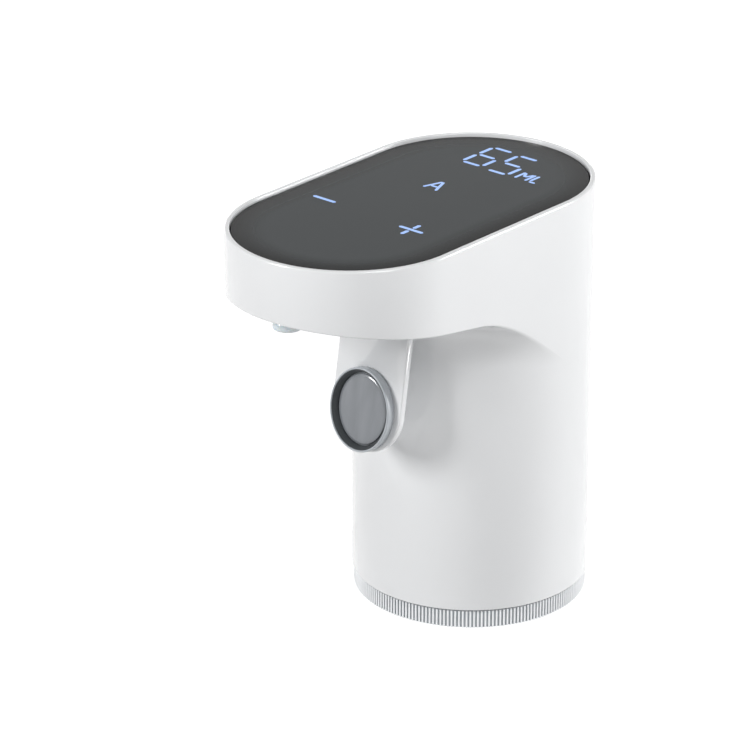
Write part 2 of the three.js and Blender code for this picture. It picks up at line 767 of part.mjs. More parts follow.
function pumpBody() {
  const outletLow = [outletSide - hoseRadius, -outletReach - hoseRadius];
  const outletHigh = [outletSide + hoseRadius, -pumpReach];
  const snoutFoot = chamberFoot;
  let body = join(
    block([...pumpLow, pumpFoot], [...pumpHigh, chamberTop]),
    block([...outletLow, snoutFoot], [...outletHigh, chamberTop]),
    cylinder(barbRadius, chamberTop - overrun, chamberTop + barbLength, outletSide, -outletReach, smallSides),
    cylinder(barbRadius, pumpFoot - barbLength, pumpFoot + overrun, 0, 0, smallSides),
  );
  const chambers = [-1, 1].map((side) => (
    cylinder(chamberRadius, chamberFoot, chamberTop + overrun, side * pitchRadius, -pumpReach)
  ));
  const suction = cylinder(portPocket, chamberFoot, chamberTop + overrun, 0, -portRadius, smallSides);
  const discharge = block(
    [-portPocket, -pumpReach - chamberRadius - portRadius, chamberFoot],
    [outletSide + portRadius, -pumpReach - chamberRadius + portPocket, chamberTop + overrun],
  );
  const middle = (chamberFoot + chamberTop) / 2;
  body = cut(
    body, ...chambers, suction, discharge,
    cylinder(portRadius, pumpFoot - barbLength - overrun, chamberFoot + overrun, 0, 0, smallSides),
    rodY(portRadius, -outletReach, -pumpReach - chamberRadius, outletSide, middle),
    cylinder(
      portRadius, middle - portRadius, chamberTop + barbLength + overrun,
      outletSide, -outletReach, smallSides,
    ),
    cylinder(
      idlerPinRadius + gap, chamberFoot - pumpFloor / 2, chamberFoot + overrun,
      pitchRadius, -pumpReach, smallSides,
    ),
  );
  for (const [x, y] of pumpScrewPlaces) {
    body = body.subtract(cylinder(
      boardScrewRadius + gap, chamberFoot, chamberTop + overrun, x, y, smallSides,
    ));
  }
  return body;
}

function pumpPlate(foot, top) {
  let body = block([...pumpLow, foot], [...pumpHigh, top]);
  for (const [x, y] of pumpScrewPlaces) {
    body = body.subtract(cylinder(boardScrewRadius + gap, foot - overrun, top + overrun, x, y, smallSides));
  }
  return body;
}

function pumpGasket() {
  const opening = [-1, 1].map((side) => cylinder(
    chamberRadius, pumpGasketFoot - overrun, pumpCoverFoot, side * pitchRadius, -pumpReach,
  ));
  const throat = block(
    [-portPocket, -pumpReach - chamberRadius - portRadius, pumpGasketFoot - overrun],
    [portPocket, 0, pumpCoverFoot],
  );
  return cut(pumpPlate(pumpGasketFoot, pumpGasketFoot + gasketThickness), ...opening, throat);
}

const pumpHeadRadius = 2 * boardScrewRadius;
const pumpHeadFoot = pumpCoverTop - boardScrewRadius;

function pumpCover() {
  const shaftHole = cylinder(
    shaftRadius + gap, pumpCoverFoot - overrun, pumpCoverTop + overrun, motorSide, -pumpReach,
  );
  const sealPocket = cylinder(
    sealRadius + gap, pumpCoverTop - sealThickness - 2 * gap, pumpCoverTop + overrun, motorSide, -pumpReach,
  );
  const headPockets = pumpScrewPlaces.map(([x, y]) => (
    cylinder(pumpHeadRadius + gap, pumpHeadFoot - gap, pumpCoverTop + overrun, x, y, smallSides)
  ));
  return cut(pumpPlate(pumpCoverFoot, pumpCoverTop), shaftHole, sealPocket, ...headPockets);
}

// Motor
function motorCase() {
  const can = cylinder(motorRadius, motorFoot, motorTop, motorSide, -pumpReach, bodySides / 2);
  const room = cylinder(
    motorRadius - motorWall, motorFoot + motorWall, motorTop + overrun, motorSide, -pumpReach, bodySides / 2,
  );
  const mouth = cylinder(
    shaftRadius + gap, motorFoot - overrun, motorFoot + 2 * motorWall, motorSide, -pumpReach,
  );
  return cut(can, room, mouth);
}

function motorRotor(foot, top) {
  let body = sleeve(rotorRadius, shaftRadius + gap, foot, top, 0, 0, roundSides);
  for (let slot = 0; slot < rotorSlots; slot += 1) {
    const mouth = block(
      [rotorRadius / 2, -rotorSlotWidth / 2, foot - overrun],
      [rotorRadius + overrun, rotorSlotWidth / 2, top + overrun],
    ).rotate([0, 0, slot * 360 / rotorSlots]);
    body = body.subtract(mouth);
  }
  return body.translate([motorSide, -pumpReach, 0]);
}

// Nozzle: a spout through the underside with a barb that looks back to the pump
const nozzleFloor = undersideAt(nozzleReach + nozzleFlange) + wall;
const nozzleFoot = undersideAt(nozzleReach) - nozzleDrop;
const nozzleFlangeFoot = nozzleFloor + nozzleSealThickness + 2 * gap;
const nozzleTop = nozzleFloor + nozzleRise;
const nozzleBarbHeight = nozzleTop - barbRadius - gap;

function nozzle() {
  const spout = cylinder(nozzleRadius, nozzleFoot, nozzleTop, 0, -nozzleReach);
  const flangeTop = nozzleFlangeFoot + nozzleFlangeThickness;
  const flange = cylinder(nozzleFlange, nozzleFlangeFoot, flangeTop, 0, -nozzleReach);
  const barbTip = nozzleFlange + barbLength;
  const turnedBack = (rod) => rod.rotate([0, 0, -nozzleTurn]).translate([0, -nozzleReach, 0]);
  const barb = turnedBack(rodY(barbRadius, 0, barbTip, 0, nozzleBarbHeight));
  const bore = cylinder(nozzleRadius - nozzleWall, nozzleFoot - overrun, nozzleBarbHeight, 0, -nozzleReach);
  const barbBore = turnedBack(rodY(portRadius, 0, barbTip + overrun, 0, nozzleBarbHeight));
  return cut(join(spout, flange, barb), bore, barbBore);
}

// Hose from the pump's outlet up the column, past the lever's hinge and on to the nozzle's barb
const between = (from, to, share) => from + (to - from) * share;
const hoseStart = chamberTop + gap;
const hoseSide = lugOuter + hoseRadius + runningGap;
const hoseHeight = undersideAt(hingeReach) + wall + hoseRadius + hoseClearance;
const hoseTurn = nozzleTurn * Math.PI / 180;
const hoseCorner = hoseSide / Math.sin(hoseTurn); // distance from the nozzle along its barb's line
const nozzleLine = (distance, share) => [
  distance * Math.sin(hoseTurn),
  -nozzleReach + distance * Math.cos(hoseTurn),
  between(hoseHeight, nozzleBarbHeight, share),
];
const bendFoot = hoseHeight - hoseBendHeight;
const bendReach = hingeReach - lugRadius - hoseRadius - hoseClearance;
const riseShares = [0, 0.35, 0.7, 0.95];
const bendAngles = [15, 35, 55, 75, 90]; // degrees round the quarter bend
// Each pair: way back from the nozzle to the corner, rise to the barb's height
const lineShares = [[0.86, 0.15], [0.68, 0.5], [0.52, 0.9], [0.4, 1], [0.3, 1]];
const hoseRoute = [
  ...riseShares.map((share) => [outletSide, -outletReach, between(hoseStart, bendFoot, share)]),
  ...bendAngles.map((degrees) => {
    const angle = degrees * Math.PI / 180;
    const share = 1 - Math.cos(angle);
    return [
      between(outletSide, hoseSide, share),
      -between(outletReach, bendReach, share),
      bendFoot + hoseBendHeight * Math.sin(angle),
    ];
  }),
  [hoseSide, -hingeReach - lugRadius, hoseHeight],
  ...lineShares.map(([wayShare, riseShare]) => nozzleLine(hoseCorner * wayShare, riseShare)),
  nozzleLine(nozzleFlange + barbLength, 1),
  nozzleLine(nozzleFlange + gap, 1),
];

// Cup lever and what is on it, in the lever's own frame
function leverPlate() {
  const half = leverWidth / 2;
  const shape = new THREE.Shape();
  shape.moveTo(half, 0);
  shape.lineTo(half, -padDrop);
  shape.absarc(0, -padDrop, half, 0, -Math.PI, true);
  shape.lineTo(-half, 0);
  shape.closePath();
  const settings = { depth: leverThickness, bevelEnabled: false, curveSegments: smallSides / 2 };
  const geometry = new THREE.ExtrudeGeometry(shape, settings);
  geometry.rotateX(Math.PI / 2);
  geometry.translate(0, leverThickness / 2, 0);
  const tongue = solid(geometry);
  const hub = rodX(leverHubRadius, -half, half);
  const springRoom = rodX(leverHubRadius + overrun, -leverGapHalf, leverGapHalf);
  const arm = block(
    [-leverArmWidth / 2, -leverThickness / 2, -leverHubRadius],
    [leverArmWidth / 2, leverThickness / 2, leverArmLength],
  );
  const armGap = block(
    [-leverGapHalf, -leverHubRadius - overrun, -leverHubRadius - overrun],
    [leverGapHalf, leverHubRadius + overrun, leverHubRadius + overrun],
  );
  const pinHole = rodX(pinRadius + gap, -half - overrun, half + overrun);
  const cheeks = cut(arm.add(hub), springRoom);
  return cut(join(cheeks, cut(tongue, armGap)), pinHole);
}

// Oval disc round the pad's centre, standing forward of the lever's front face
function padDisc(inset, from, to) {
  const shape = new THREE.Shape();
  shape.absellipse(0, 0, padHalfWidth - inset, padHalfHeight - inset, 0, 2 * Math.PI, false);
  const settings = { depth: to - from, bevelEnabled: false, curveSegments: smallSides };
  const geometry = new THREE.ExtrudeGeometry(shape, settings);
  geometry.rotateX(Math.PI / 2);
  geometry.translate(0, -leverThickness / 2 - from, -padDrop);
  return solid(geometry);
}

function lever() {
  place('cup_lever', leverPlate(), gloss(), leverFrame);
  const front = gap + padThickness;
  const pocketFloor = front - padPocket;
  const pad = cut(padDisc(0, gap, front), padDisc(padRim, pocketFloor, front + overrun));
  place('lever_pad', pad, gloss(), leverFrame);
  const liner = cut(
    padDisc(padRim + gap, pocketFloor + gap, front - gap),
    padDisc(padRim + gap + linerWall, pocketFloor + gap - overrun, front + overrun),
  );
  place('pad_liner', liner, darkRubber(), leverFrame);
  const face = padDisc(padRim + linerWall + 2 * gap, pocketFloor + gap, pocketFloor + gap + padFaceThickness);
  place('pad_face', face, finish(0x9da1a5, 0.25), leverFrame);
}

function leverSpring() {
  const points = [];
  const total = springTurns * springSteps;
  const pitch = 2 * (leverGapHalf - springWire - runningGap) / springTurns;
  for (let step = 0; step <= total; step += 1) {
    const angle = step / springSteps * 2 * Math.PI;
    const x = -springTurns * pitch / 2 + step / springSteps * pitch;
    points.push([x, springRadius * Math.cos(angle), springRadius * Math.sin(angle)]);
  }
  return alongCurve(points, springWire, total, springSides);
}

// Micro switch in front of the lever's arm
function microSwitch() {
  const body = block(
    [-switchWidth / 2, -switchFace - switchDepth, switchFoot],
    [switchWidth / 2, -switchFace, switchFoot + switchHeight],
  );
  const socket = rodY(
    plungerRadius + gap, -switchFace - plungerSocket, -switchFace + overrun, 0, plungerHeight,
  );
  return body.subtract(socket);
}

function switchPlunger() {
  const back = -switchFace - plungerSocket + 2 * runningGap;
  return rodY(plungerRadius, back, -plungerFace, 0, plungerHeight);
}

// Base: knurled ring with a bayonet collar
function knurledRing() {
  const ribs = Math.round(2 * Math.PI * ringRadius / knurlPitch);
  const shape = new THREE.Shape();
  for (let i = 0; i < 2 * ribs; i += 1) {
    const radius = ringRadius - (i % 2) * knurlDepth;
    const angle = i / ribs * Math.PI;
    const corner = [radius * Math.cos(angle), radius * Math.sin(angle)];
    if (i === 0) shape.moveTo(...corner);
    else shape.lineTo(...corner);
  }
  shape.closePath();
  const hole = new THREE.Path();
  hole.absarc(0, 0, ringBore + collarWall / 2, 0, 2 * Math.PI, true);
  shape.holes.push(hole);
  const band = extruded(shape, 0, ringHeight, roundSides * 2);
  let body = band.add(sleeve(ringBore + collarWall, ringBore, 0, collarTop, 0, 0, roundSides * 2));
  for (let i = 0; i < lugCount; i += 1) {
    body = body.add(bayonetSector(
      bayonetLug, basePlateTop + runningGap, collarTop, bayonetLugAngle, i * 360 / lugCount,
    ));
  }
  return body;
}

// Sector of a ring that stands out of the collar
function bayonetSector(reach, foot, top, degrees, middle) {
  const shape = new THREE.Shape();
  const half = degrees / 2 * Math.PI / 180;
  const inner = ringBore + collarWall / 2;
  const outer = ringBore + collarWall + reach;
  shape.absarc(0, 0, outer, -half, half, false);
  shape.absarc(0, 0, inner, half, -half, true);
  shape.closePath();
  return extruded(shape, foot, top, sectorSides).rotate([0, 0, middle]);
}

function basePlate() {
  let body = sleeve(
    innerRadius - gap, ringBore + collarWall + runningGap, basePlateFoot, basePlateTop, 0, 0, bodySides,
  );
  for (let i = 0; i < lugCount; i += 1) {
    const middle = i * 360 / lugCount + bayonetTurn;
    const notchAngle = bayonetLugAngle + bayonetPlay;
    body = body.subtract(bayonetSector(
      bayonetLug + runningGap, basePlateFoot - overrun, basePlateTop + overrun, notchAngle, middle,
    ));
  }
  return body;
}

// Bottle seat: a cup upside down over the neck, with a flange for the screws
function bottleSeat() {
  const foot = collarTop + runningGap;
  const rim = seatCavityRadius + seatWall;
  const profile = [
    [0, seatPlateTop],
    [innerRadius - runningGap, seatPlateTop],
    [innerRadius - runningGap, seatPlateHeight],
    [rim, seatPlateHeight],
    [rim, foot],
    [seatCavityRadius, foot],
    [seatCavityRadius, seatPlateHeight],
    [0, seatPlateHeight],
  ];
  let body = turned(profile, bodySides / 2);
  for (const [x, y] of bossPlaces) {
    body = body.subtract(cylinder(
      screwRadius + gap, seatPlateHeight - overrun, seatPlateTop + overrun, x, y, smallSides,
    ));
  }
  return cut(
    body,
    cylinder(stemRadius + gap, seatPlateHeight - overrun, seatPlateTop + overrun, 0, 0),
    cylinder(ventBore, seatPlateHeight - overrun, seatPlateTop + overrun, 0, ventReach, smallSides),
  );
}

function neckSeal() {
  const foot = collarTop + seatWall;
  const lip = neckSealThickness / 4;
  return turned([
    [seatCavityRadius - gap, foot],
    [seatCavityRadius - gap, foot + neckSealThickness],
    [seatCavityRadius - lip, foot + neckSealThickness],
    [neckSealBore, foot + lip],
    [neckSealBore, foot],
  ], bodySides / 2);
}

// Tapered stopper with ribs, bored for the stem and the vent
function stopper() {
  const top = seatPlateHeight - gap;
  const profile = [[stemRadius + gap, top], [stopperTop, top]];
  const span = top - stopperFoot;
  const shareBand = 1 / (stopperRibs + 1);
  for (let rib = 0; rib < stopperRibs; rib += 1) {
    const share = (rib + 1) * shareBand;
    const radius = stopperTop + (stopperTip - stopperTop) * share;
    const middle = top - span * share;
    profile.push([radius - stopperRibDepth, middle + 2 * stopperRibDepth]);
    profile.push([radius, middle]);
    profile.push([radius - stopperRibDepth, middle - stopperRibDepth]);
  }
  profile.push([stopperTip, stopperFoot + stopperRibDepth]);
  profile.push([stopperTip - stopperRibDepth, stopperFoot]);
  profile.push([stemRadius + gap, stopperFoot]);
  const vent = cylinder(ventBore, stopperFoot - overrun, top + overrun, 0, ventReach, smallSides);
  return turned(profile, roundSides).subtract(vent);
}

// Stem: the liquid's way through the seat, with a barb at each end
function stem() {
  const flangeFoot = seatPlateTop + gap;
  const flangeTop = flangeFoot + stemFlangeThickness;
  const barbFoot = stemFoot + stemBarbHeight;
  return turned([
    [portRadius, stemFoot],
    [barbRadius, stemFoot],
    [stemRadius, stemFoot + stemBarbHeight / 2],
    [barbRadius, stemFoot + stemBarbHeight / 2],
    [barbRadius, barbFoot],
    [stemRadius, barbFoot],
    [stemRadius, flangeFoot],
    [stemFlangeRadius, flangeFoot],
    [stemFlangeRadius, flangeTop],
    [barbRadius, flangeTop],
    [barbRadius, flangeTop + barbLength],
    [portRadius, flangeTop + barbLength],
  ], smallSides);
}

// Screw with its head below the shank when it points up, or above it when it points down
function screw(headFoot, length, radius, headRadius, headHeight, up) {
  const headTop = headFoot + headHeight;
  const tip = up ? headTop + length : headFoot - length;
  const shoulder = up ? headTop : headFoot;
  const crown = up ? headFoot : headTop;
  return turned([
    [0, crown],
    [headRadius, crown],
    [headRadius, shoulder],
    [radius, shoulder],
    [radius, tip],
    [0, tip],
  ], smallSides);
}

// Assembly
place('housing_shell', housing(), gloss());
place('touch_panel', touchPanel(), smokedGlass());
displayStack();
place('main_board', mainBoard(), board());
place('battery_cell', battery(), cellWrap());
place('battery_foam', block(
  [-batteryWidth / 2 + batteryRound, foamFront, batteryFoot + batteryRound],
  [batteryWidth / 2 - batteryRound, foamFront + foamThickness, batteryFoot + batteryHeight - batteryRound],
), darkRubber());
place('chassis', chassis(), innerPlastic());
place('charge_board', chargeBoard(), board());
place('charge_socket', chargeSocket(), steel());

place('pump_body', pumpBody(), innerPlastic());
place('pump_gasket', pumpGasket(), darkRubber());
place('pump_cover', pumpCover(), innerPlastic());
place('drive_gear', gear(-1, 0, shaftRadius + gap), gearPlastic());
place('idler_gear', gear(1, Math.PI / gearTeeth, idlerPinRadius + gap), gearPlastic());
place('idler_pin', cylinder(
  idlerPinRadius, chamberFoot - pumpFloor / 2 + gap, chamberTop - gap, pitchRadius, -pumpReach, smallSides,
), steel());
place('shaft_seal', sleeve(
  sealRadius, shaftRadius + gap,
  pumpCoverTop - sealThickness - gap, pumpCoverTop - gap, motorSide, -pumpReach,
), darkRubber());
pumpScrewPlaces.forEach(([x, y], i) => {
  const length = pumpHeadFoot - chamberFoot - gap;
  const body = screw(pumpHeadFoot, length, boardScrewRadius, pumpHeadRadius, boardScrewRadius, false);
  place(`pump_screw_${i + 1}`, body.translate([x, y, 0]), steel());
});

place('motor_case', motorCase(), steel());
const magnetFoot = motorFoot + motorWall + (rotorRoom - rotorLength) / 2;
place('motor_magnet', sleeve(
  motorRadius - motorWall - gap, motorRadius - motorWall - gap - magnetThickness,
  magnetFoot, magnetFoot + rotorLength, motorSide, -pumpReach, bodySides / 2,
), finish(0x4a4d50, 0.6));
place('motor_rotor', motorRotor(magnetFoot, magnetFoot + rotorLength), finish(0x8a5a32, 0.4, 0.6));
place('motor_shaft', cylinder(
  shaftRadius, chamberFoot + 2 * gap, motorTop + gap, motorSide, -pumpReach, smallSides,
), steel());
place('motor_end_cap', cut(
  join(
    cylinder(
      motorRadius, motorTop + gap, motorTop + gap + motorCapHeight, motorSide, -pumpReach, bodySides / 2,
    ),
    cylinder(
      motorRadius - motorWall - gap, motorTop - motorCapHeight, motorTop + motorCapHeight,
      motorSide, -pumpReach,
    ),
  ),
  cylinder(
    shaftRadius + runningGap, motorTop - motorCapHeight - overrun, motorTop + 2 * gap,
    motorSide, -pumpReach, smallSides,
  ),
), innerPlastic());

place('inlet_hose', sleeve(
  hoseRadius, hoseBore, seatPlateTop + stemFlangeThickness + 2 * gap, pumpFoot - gap, 0, 0, smallSides,
), clearSilicone());
place('outlet_hose', cut(
  alongCurve(hoseRoute, hoseRadius, hoseSteps),
  alongCurve(lengthened(hoseRoute, overrun), hoseBore, hoseSteps),
), clearSilicone());
place('nozzle', nozzle(), finish(0xf0f2f3, 0.2));
place('nozzle_seal', sleeve(
  nozzleFlange, nozzleRadius + gap,
  nozzleFlangeFoot - gap - nozzleSealThickness, nozzleFlangeFoot - gap, 0, -nozzleReach,
), darkRubber());

lever();
place('lever_pin', rodX(pinRadius, -lugOuter, lugOuter), steel(), leverFrame);
place('lever_spring', leverSpring(), steel(), leverFrame);
place('micro_switch', microSwitch(), finish(0x222426, 0.5));
place('switch_plunger', switchPlunger(), finish(0xb23b33, 0.5));

place('knurled_ring', knurledRing(), finish(0xc9cccf, 0.35));
place('base_plate', basePlate(), innerPlastic());
place('bottle_seat', bottleSeat(), innerPlastic());
place('neck_seal', neckSeal(), darkRubber());
place('bottle_stopper', stopper(), clearSilicone());
place('stem', stem(), steel());
place('vent_valve', cut(
  turned([
    [0, seatPlateTop + gap],
    [ventRadius, seatPlateTop + gap],
    [ventRadius / 2, seatPlateTop + gap + ventHeight],
    [0, seatPlateTop + gap + ventHeight],
  ], smallSides, 0, ventReach),
  cylinder(ventBore / 2, seatPlateTop, seatPlateTop + gap + ventHeight + overrun, 0, ventReach, smallSides),
), clearSilicone());
bossPlaces.forEach(([x, y], i) => {
  const headFoot = seatPlateHeight - gap - screwHeadHeight;
  const body = screw(headFoot, screwLength, screwRadius, screwHeadRadius, screwHeadHeight, true);
  place(`seat_screw_${i + 1}`, body.translate([x, y, 0]), steel());
});
[-1, 1].forEach((side, i) => {
  const headFoot = mainBoardHeight + boardThickness + gap;
  const length = screwLength / 2;
  const body = screw(headFoot, length, boardScrewRadius, 2 * boardScrewRadius, boardScrewRadius, false);
  const y = chassisWallReach + chassisWall / 2;
  place(`board_screw_${i + 1}`, body.translate([side * boardScrewSpan / 2, y, 0]), steel());
});

place('motor_lead', alongCurve([
  [motorSide, -pumpReach, motorTop + motorCapHeight + 2 * gap],
  [motorSide + leadRadius, -pumpReach, (motorTop + motorCapHeight + plugFoot) / 2],
  [motorSide, -pumpReach, plugFoot - gap],
], leadRadius, leadSteps, leadSides), finish(0xb0342c, 0.5));
const cellTop = batteryFoot + batteryHeight;
place('battery_lead', alongCurve([
  [leadPlugs[1][0], leadPlugs[1][1], cellTop + gap],
  [leadPlugs[1][0] + leadRadius, leadPlugs[1][1], (cellTop + plugFoot) / 2],
  [leadPlugs[1][0], leadPlugs[1][1], plugFoot - gap],
], leadRadius, leadSteps, leadSides), finish(0xb0342c, 0.5));
place('display_ribbon', block(
  [-ribbonWidth / 2, -mainBoardFront + ribbonThickness, mainBoardHeight + boardThickness + gap],
  [ribbonWidth / 2, -mainBoardFront + 2 * ribbonThickness, displayBoardTop - boardThickness - gap],
), finish(0xd8c9a0, 0.5));

export default dispenser;
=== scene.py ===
import math

import bmesh
import bpy
from mathutils import Matrix, Vector


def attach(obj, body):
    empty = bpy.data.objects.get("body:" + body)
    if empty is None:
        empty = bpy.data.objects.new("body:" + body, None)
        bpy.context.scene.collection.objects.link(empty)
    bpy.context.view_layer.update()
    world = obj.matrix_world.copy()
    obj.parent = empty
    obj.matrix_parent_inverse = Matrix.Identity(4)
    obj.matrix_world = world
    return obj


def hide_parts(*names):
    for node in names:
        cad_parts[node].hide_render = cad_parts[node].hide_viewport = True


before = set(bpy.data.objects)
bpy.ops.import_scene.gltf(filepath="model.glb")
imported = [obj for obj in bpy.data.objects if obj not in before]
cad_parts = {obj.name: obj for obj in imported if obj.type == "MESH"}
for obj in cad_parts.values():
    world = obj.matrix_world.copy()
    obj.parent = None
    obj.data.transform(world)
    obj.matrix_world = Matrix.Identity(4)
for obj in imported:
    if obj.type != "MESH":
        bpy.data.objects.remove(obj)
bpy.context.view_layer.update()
scene = bpy.context.scene
MM = 0.001

# Sizes of the dispenser in millimetres. X and Z are the part's own, and V runs back from the
# column's axis.
COLUMN_Y = 23.0
BODY_RADIUS = 30.0
HEAD_REACH = 46.0
BODY_TOP = 110.0
UNDERSIDE = 82.25
TILT = math.radians(9.3)
FILLET = 14.5
INNER_RADIUS = 27.7
COLUMN_FOOT = 5.2
BASE_BORE_TOP = 7.2
RIM_ROUND = 0.5
LIP_ROUND = 0.5
TOE_ROUND = 0.2
# The fine outer skin is this deep, and the CAD shell gives what is behind it
SKIN = 0.5
# How far a cutter runs past the face that it opens
CLEAR = 2.0

LEDGE_TOP = 106.4
POCKET_RADIUS = 28.72
# The pocket's mouth as rows of (outwards, upwards) from its wall and the head's top
POCKET_MOUTH = [(0.0, -0.2), (0.05, -0.07), (0.18, 0.01), (0.18, CLEAR)]
PANEL_RADIUS = 28.4
PANEL_FOOT = 107.5
PANEL_FOOT_CHAMFER = 0.2
PANEL_TOP = 109.5
PANEL_EDGE_WIDTH = 7.5
PANEL_EDGE_DROP = 0.25
# The face falls with this power of the way over its edge
PANEL_EDGE_POWER = 2.2
PANEL_EDGE_ROUND = 0.2
# Painted shade darkens the panel to black: it starts this far in from the panel's rim and is full at the
# margin
RIM_SHADE_WIDTH = 9.0
RIM_SHADE_MARGIN = 0.5

# The lever's pieces are in its own frame: X along the hinge, -Z down the tongue, -Y out of its face
HINGE = (0.0, -10.8243, 93.3622)
LEVER_HALF = 10.85
LEVER_FRONT = 35.7
LEVER_THICKNESS = 2.0
LEVER_SLOT = 7.0
LEVER_GAP = 0.4
LEVER_EDGE = 0.45
SLOT_TOP = 90.5
TONGUE_TOP = -5.0
# Below this block's top the CAD lever gives way to the finer tongue, so that only its hub stays
HUB_CUT = ((-20.0, -8.0, -60.0), (20.0, 8.0, -6.0))
PAD_DROP = 33.5
PAD_HALF_WIDTH = 9.3
PAD_HALF_HEIGHT = 10.6
PAD_FRONT = 2.8
PAD_RIM = 0.5
BEZEL_ROUND = 0.28
BEZEL_INNER_ROUND = 0.15
BEZEL_FLOOR = 0.8
# Rows of (inset from the pad's edge, height over the tongue's face)
BEZEL_FOOT = [(0.2, 0.3), (0.0, 0.5)]
LINER_OUTSIDE = [(0.55, 1.0), (0.55, 2.6)]
LINER_ROOM = [(1.5, 0.5), (1.5, 1.0), (1.4, 1.4), (0.8, 2.5), (0.7, 2.66), (0.7, 3.2)]
FACE_CROWN = [(1.7, 0.95), (1.7, 1.25), (1.9, 1.42), (2.7, 1.48), (4.7, 1.52)]

NOZZLE_Y = -45.3
NOZZLE_RADIUS = 3.6
NOZZLE_ROUND = 0.35
NOZZLE_FOOT = 90.63
NOZZLE_SHOULDER = 93.6
# Below this level the CAD nozzle gives way to the finer spout
NOZZLE_CUT_HALF = 9.0
NOZZLE_CUT_FOOT = 85.0
NOZZLE_CUT_TOP = 93.0
# Rows of (radius, level)
NOZZLE_BORE = [(3.1, 89.63), (3.1, 90.63), (2.8, 91.03), (2.8, 94.0)]
NOZZLE_HOLE = [(4.3, 90.5), (4.3, 93.1), (3.9, 93.7), (3.9, 95.8)]

RING_RADIUS = 29.5
RING_HEIGHT = 4.8
RING_BORE = 27.0
# Chamfers of the ring's band as (inset, height)
RING_CORE_FOOT = (0.3, 0.2)
RING_CORE_TOP = (0.1, 0.1)
# Inside this radius the ring keeps the CAD ring's bayonet lugs
RING_KEEP_RADIUS = 28.0
RING_KEEP_TOP = 12.0
RIB_PITCH = 0.95
RIB_WIDTH = 0.56
RIB_DEPTH = 0.42
# The ribs stop this short of the band's upper and lower edge
RIB_GAP = 0.1

PORT_HEIGHT = 51.0
PORT_HALF_WIDTH = 4.45
PORT_HALF_HEIGHT = 1.65
PORT_WALL = 0.35
PORT_WINDOW_GAP = 0.3
# Rows of the moulding this far above and below the port keep its cut within a short band
PORT_BAND = 3.0
# Rows of (inset, Y) from the port's inner end outwards; a negative inset widens
PORT_SHELL = [(0.0, 43.2), (0.0, 51.95), (0.12, 52.1)]
PORT_ROOM = [(0.0, 44.1), (0.0, 51.8), (-0.15, 52.15), (-0.15, 53.1)]
PORT_WINDOW = [(0.0, 50.0), (0.0, 52.25), (-0.5, 53.1), (-0.5, 55.0)]
BLADE_HALF_WIDTH = 3.0
BLADE_HALF_HEIGHT = 0.35
PORT_BLADE = [(0.0, 43.8), (0.0, 50.8), (0.12, 50.9)]

# How finely the forms are stepped
ROUND_SIDES = 96
STATIONS = 192
REAR_STEPS = 96
CORNER_STEPS = 5
FINE_CORNER_STEPS = 4
BEZEL_INNER_STEPS = 3
PANEL_EDGE_STEPS = 14
FILLET_STEPS = 14
RIM_STEPS = 6
MIDDLE_STEPS = 6
PORT_STEPS = 16
TONGUE_STEPS = 64
OVAL_STEPS = 96
SPOUT_STEPS = 64
NOZZLE_HOLE_STEPS = 48
RIB_SIDES = 8


def linear(code):
    """sRGB hex to the linear colour that a shader takes."""
    channels = [int(code[i:i + 2], 16) / 255 for i in (0, 2, 4)]
    return [c / 12.92 if c <= 0.04045 else ((c + 0.055) / 1.055) ** 2.4 for c in channels] + [1.0]


def add(tree, kind, inputs=None, links=None, **settings):
    """One node with its settings, its input values and the sockets linked into it."""
    made = tree.nodes.new(kind)
    for name, value in settings.items():
        setattr(made, name, value)
    for key, value in (inputs or {}).items():
        made.inputs[key].default_value = value
    for key, socket in (links or {}).items():
        tree.links.new(socket, made.inputs[key])
    return made


# Materials

def finish(name, light, dark, rough, patch_mm, grain_mm, bump_mm, stretch=(1, 1, 1), **sockets):
    """A surface that drifts between two tones over patches, with a fine grain in its relief and gloss."""
    made = bpy.data.materials.new(name)
    made.use_nodes = True
    tree = made.node_tree
    tree.nodes.clear()
    place = add(tree, "ShaderNodeTexCoord").outputs["Object"]
    place = add(tree, "ShaderNodeMapping", {"Scale": stretch}, {"Vector": place}).outputs["Vector"]
    patches = add(tree, "ShaderNodeTexNoise", {"Scale": 1 / (patch_mm * MM), "Detail": 3.0},
                  {"Vector": place})
    grain = add(tree, "ShaderNodeTexNoise", {"Scale": 1 / (grain_mm * MM), "Detail": 4.0},
                {"Vector": place})
    tone = add(tree, "ShaderNodeMix", {6: linear(dark), 7: linear(light)}, {0: patches.outputs["Fac"]},
               data_type="RGBA")
    gloss = add(tree, "ShaderNodeMapRange", {"To Min": rough[0], "To Max": rough[1]},
                {"Value": grain.outputs["Fac"]})
    relief = add(tree, "ShaderNodeBump", {"Strength": 0.6, "Distance": bump_mm * MM},
                 {"Height": grain.outputs["Fac"]})
    shader = add(tree, "ShaderNodeBsdfPrincipled", sockets,
                 {"Base Color": tone.outputs[2], "Roughness": gloss.outputs["Result"],
                  "Normal": relief.outputs["Normal"]})
    add(tree, "ShaderNodeOutputMaterial", links={"Surface": shader.outputs["BSDF"]})
    return made


# Injection-moulded gloss ABS: near white, a deep shine with the faint waviness of moulded plastic
abs_gloss = finish("moulded_gloss_abs", "f7f8f9", "f3f4f5", (0.14, 0.18), 22, 3.5, 0.006,
                   **{"IOR": 1.5, "Coat Weight": 0.6, "Coat Roughness": 0.05})
# Light grey ABS of the pad's bezel, a satin whose grey is partly painted shade: lit, it takes the tone of
# the white lever in shade
grey_abs = finish("moulded_grey_abs", "bcc1c6", "b7bcc1", (0.28, 0.36), 12, 1.5, 0.002, **{"IOR": 1.5})
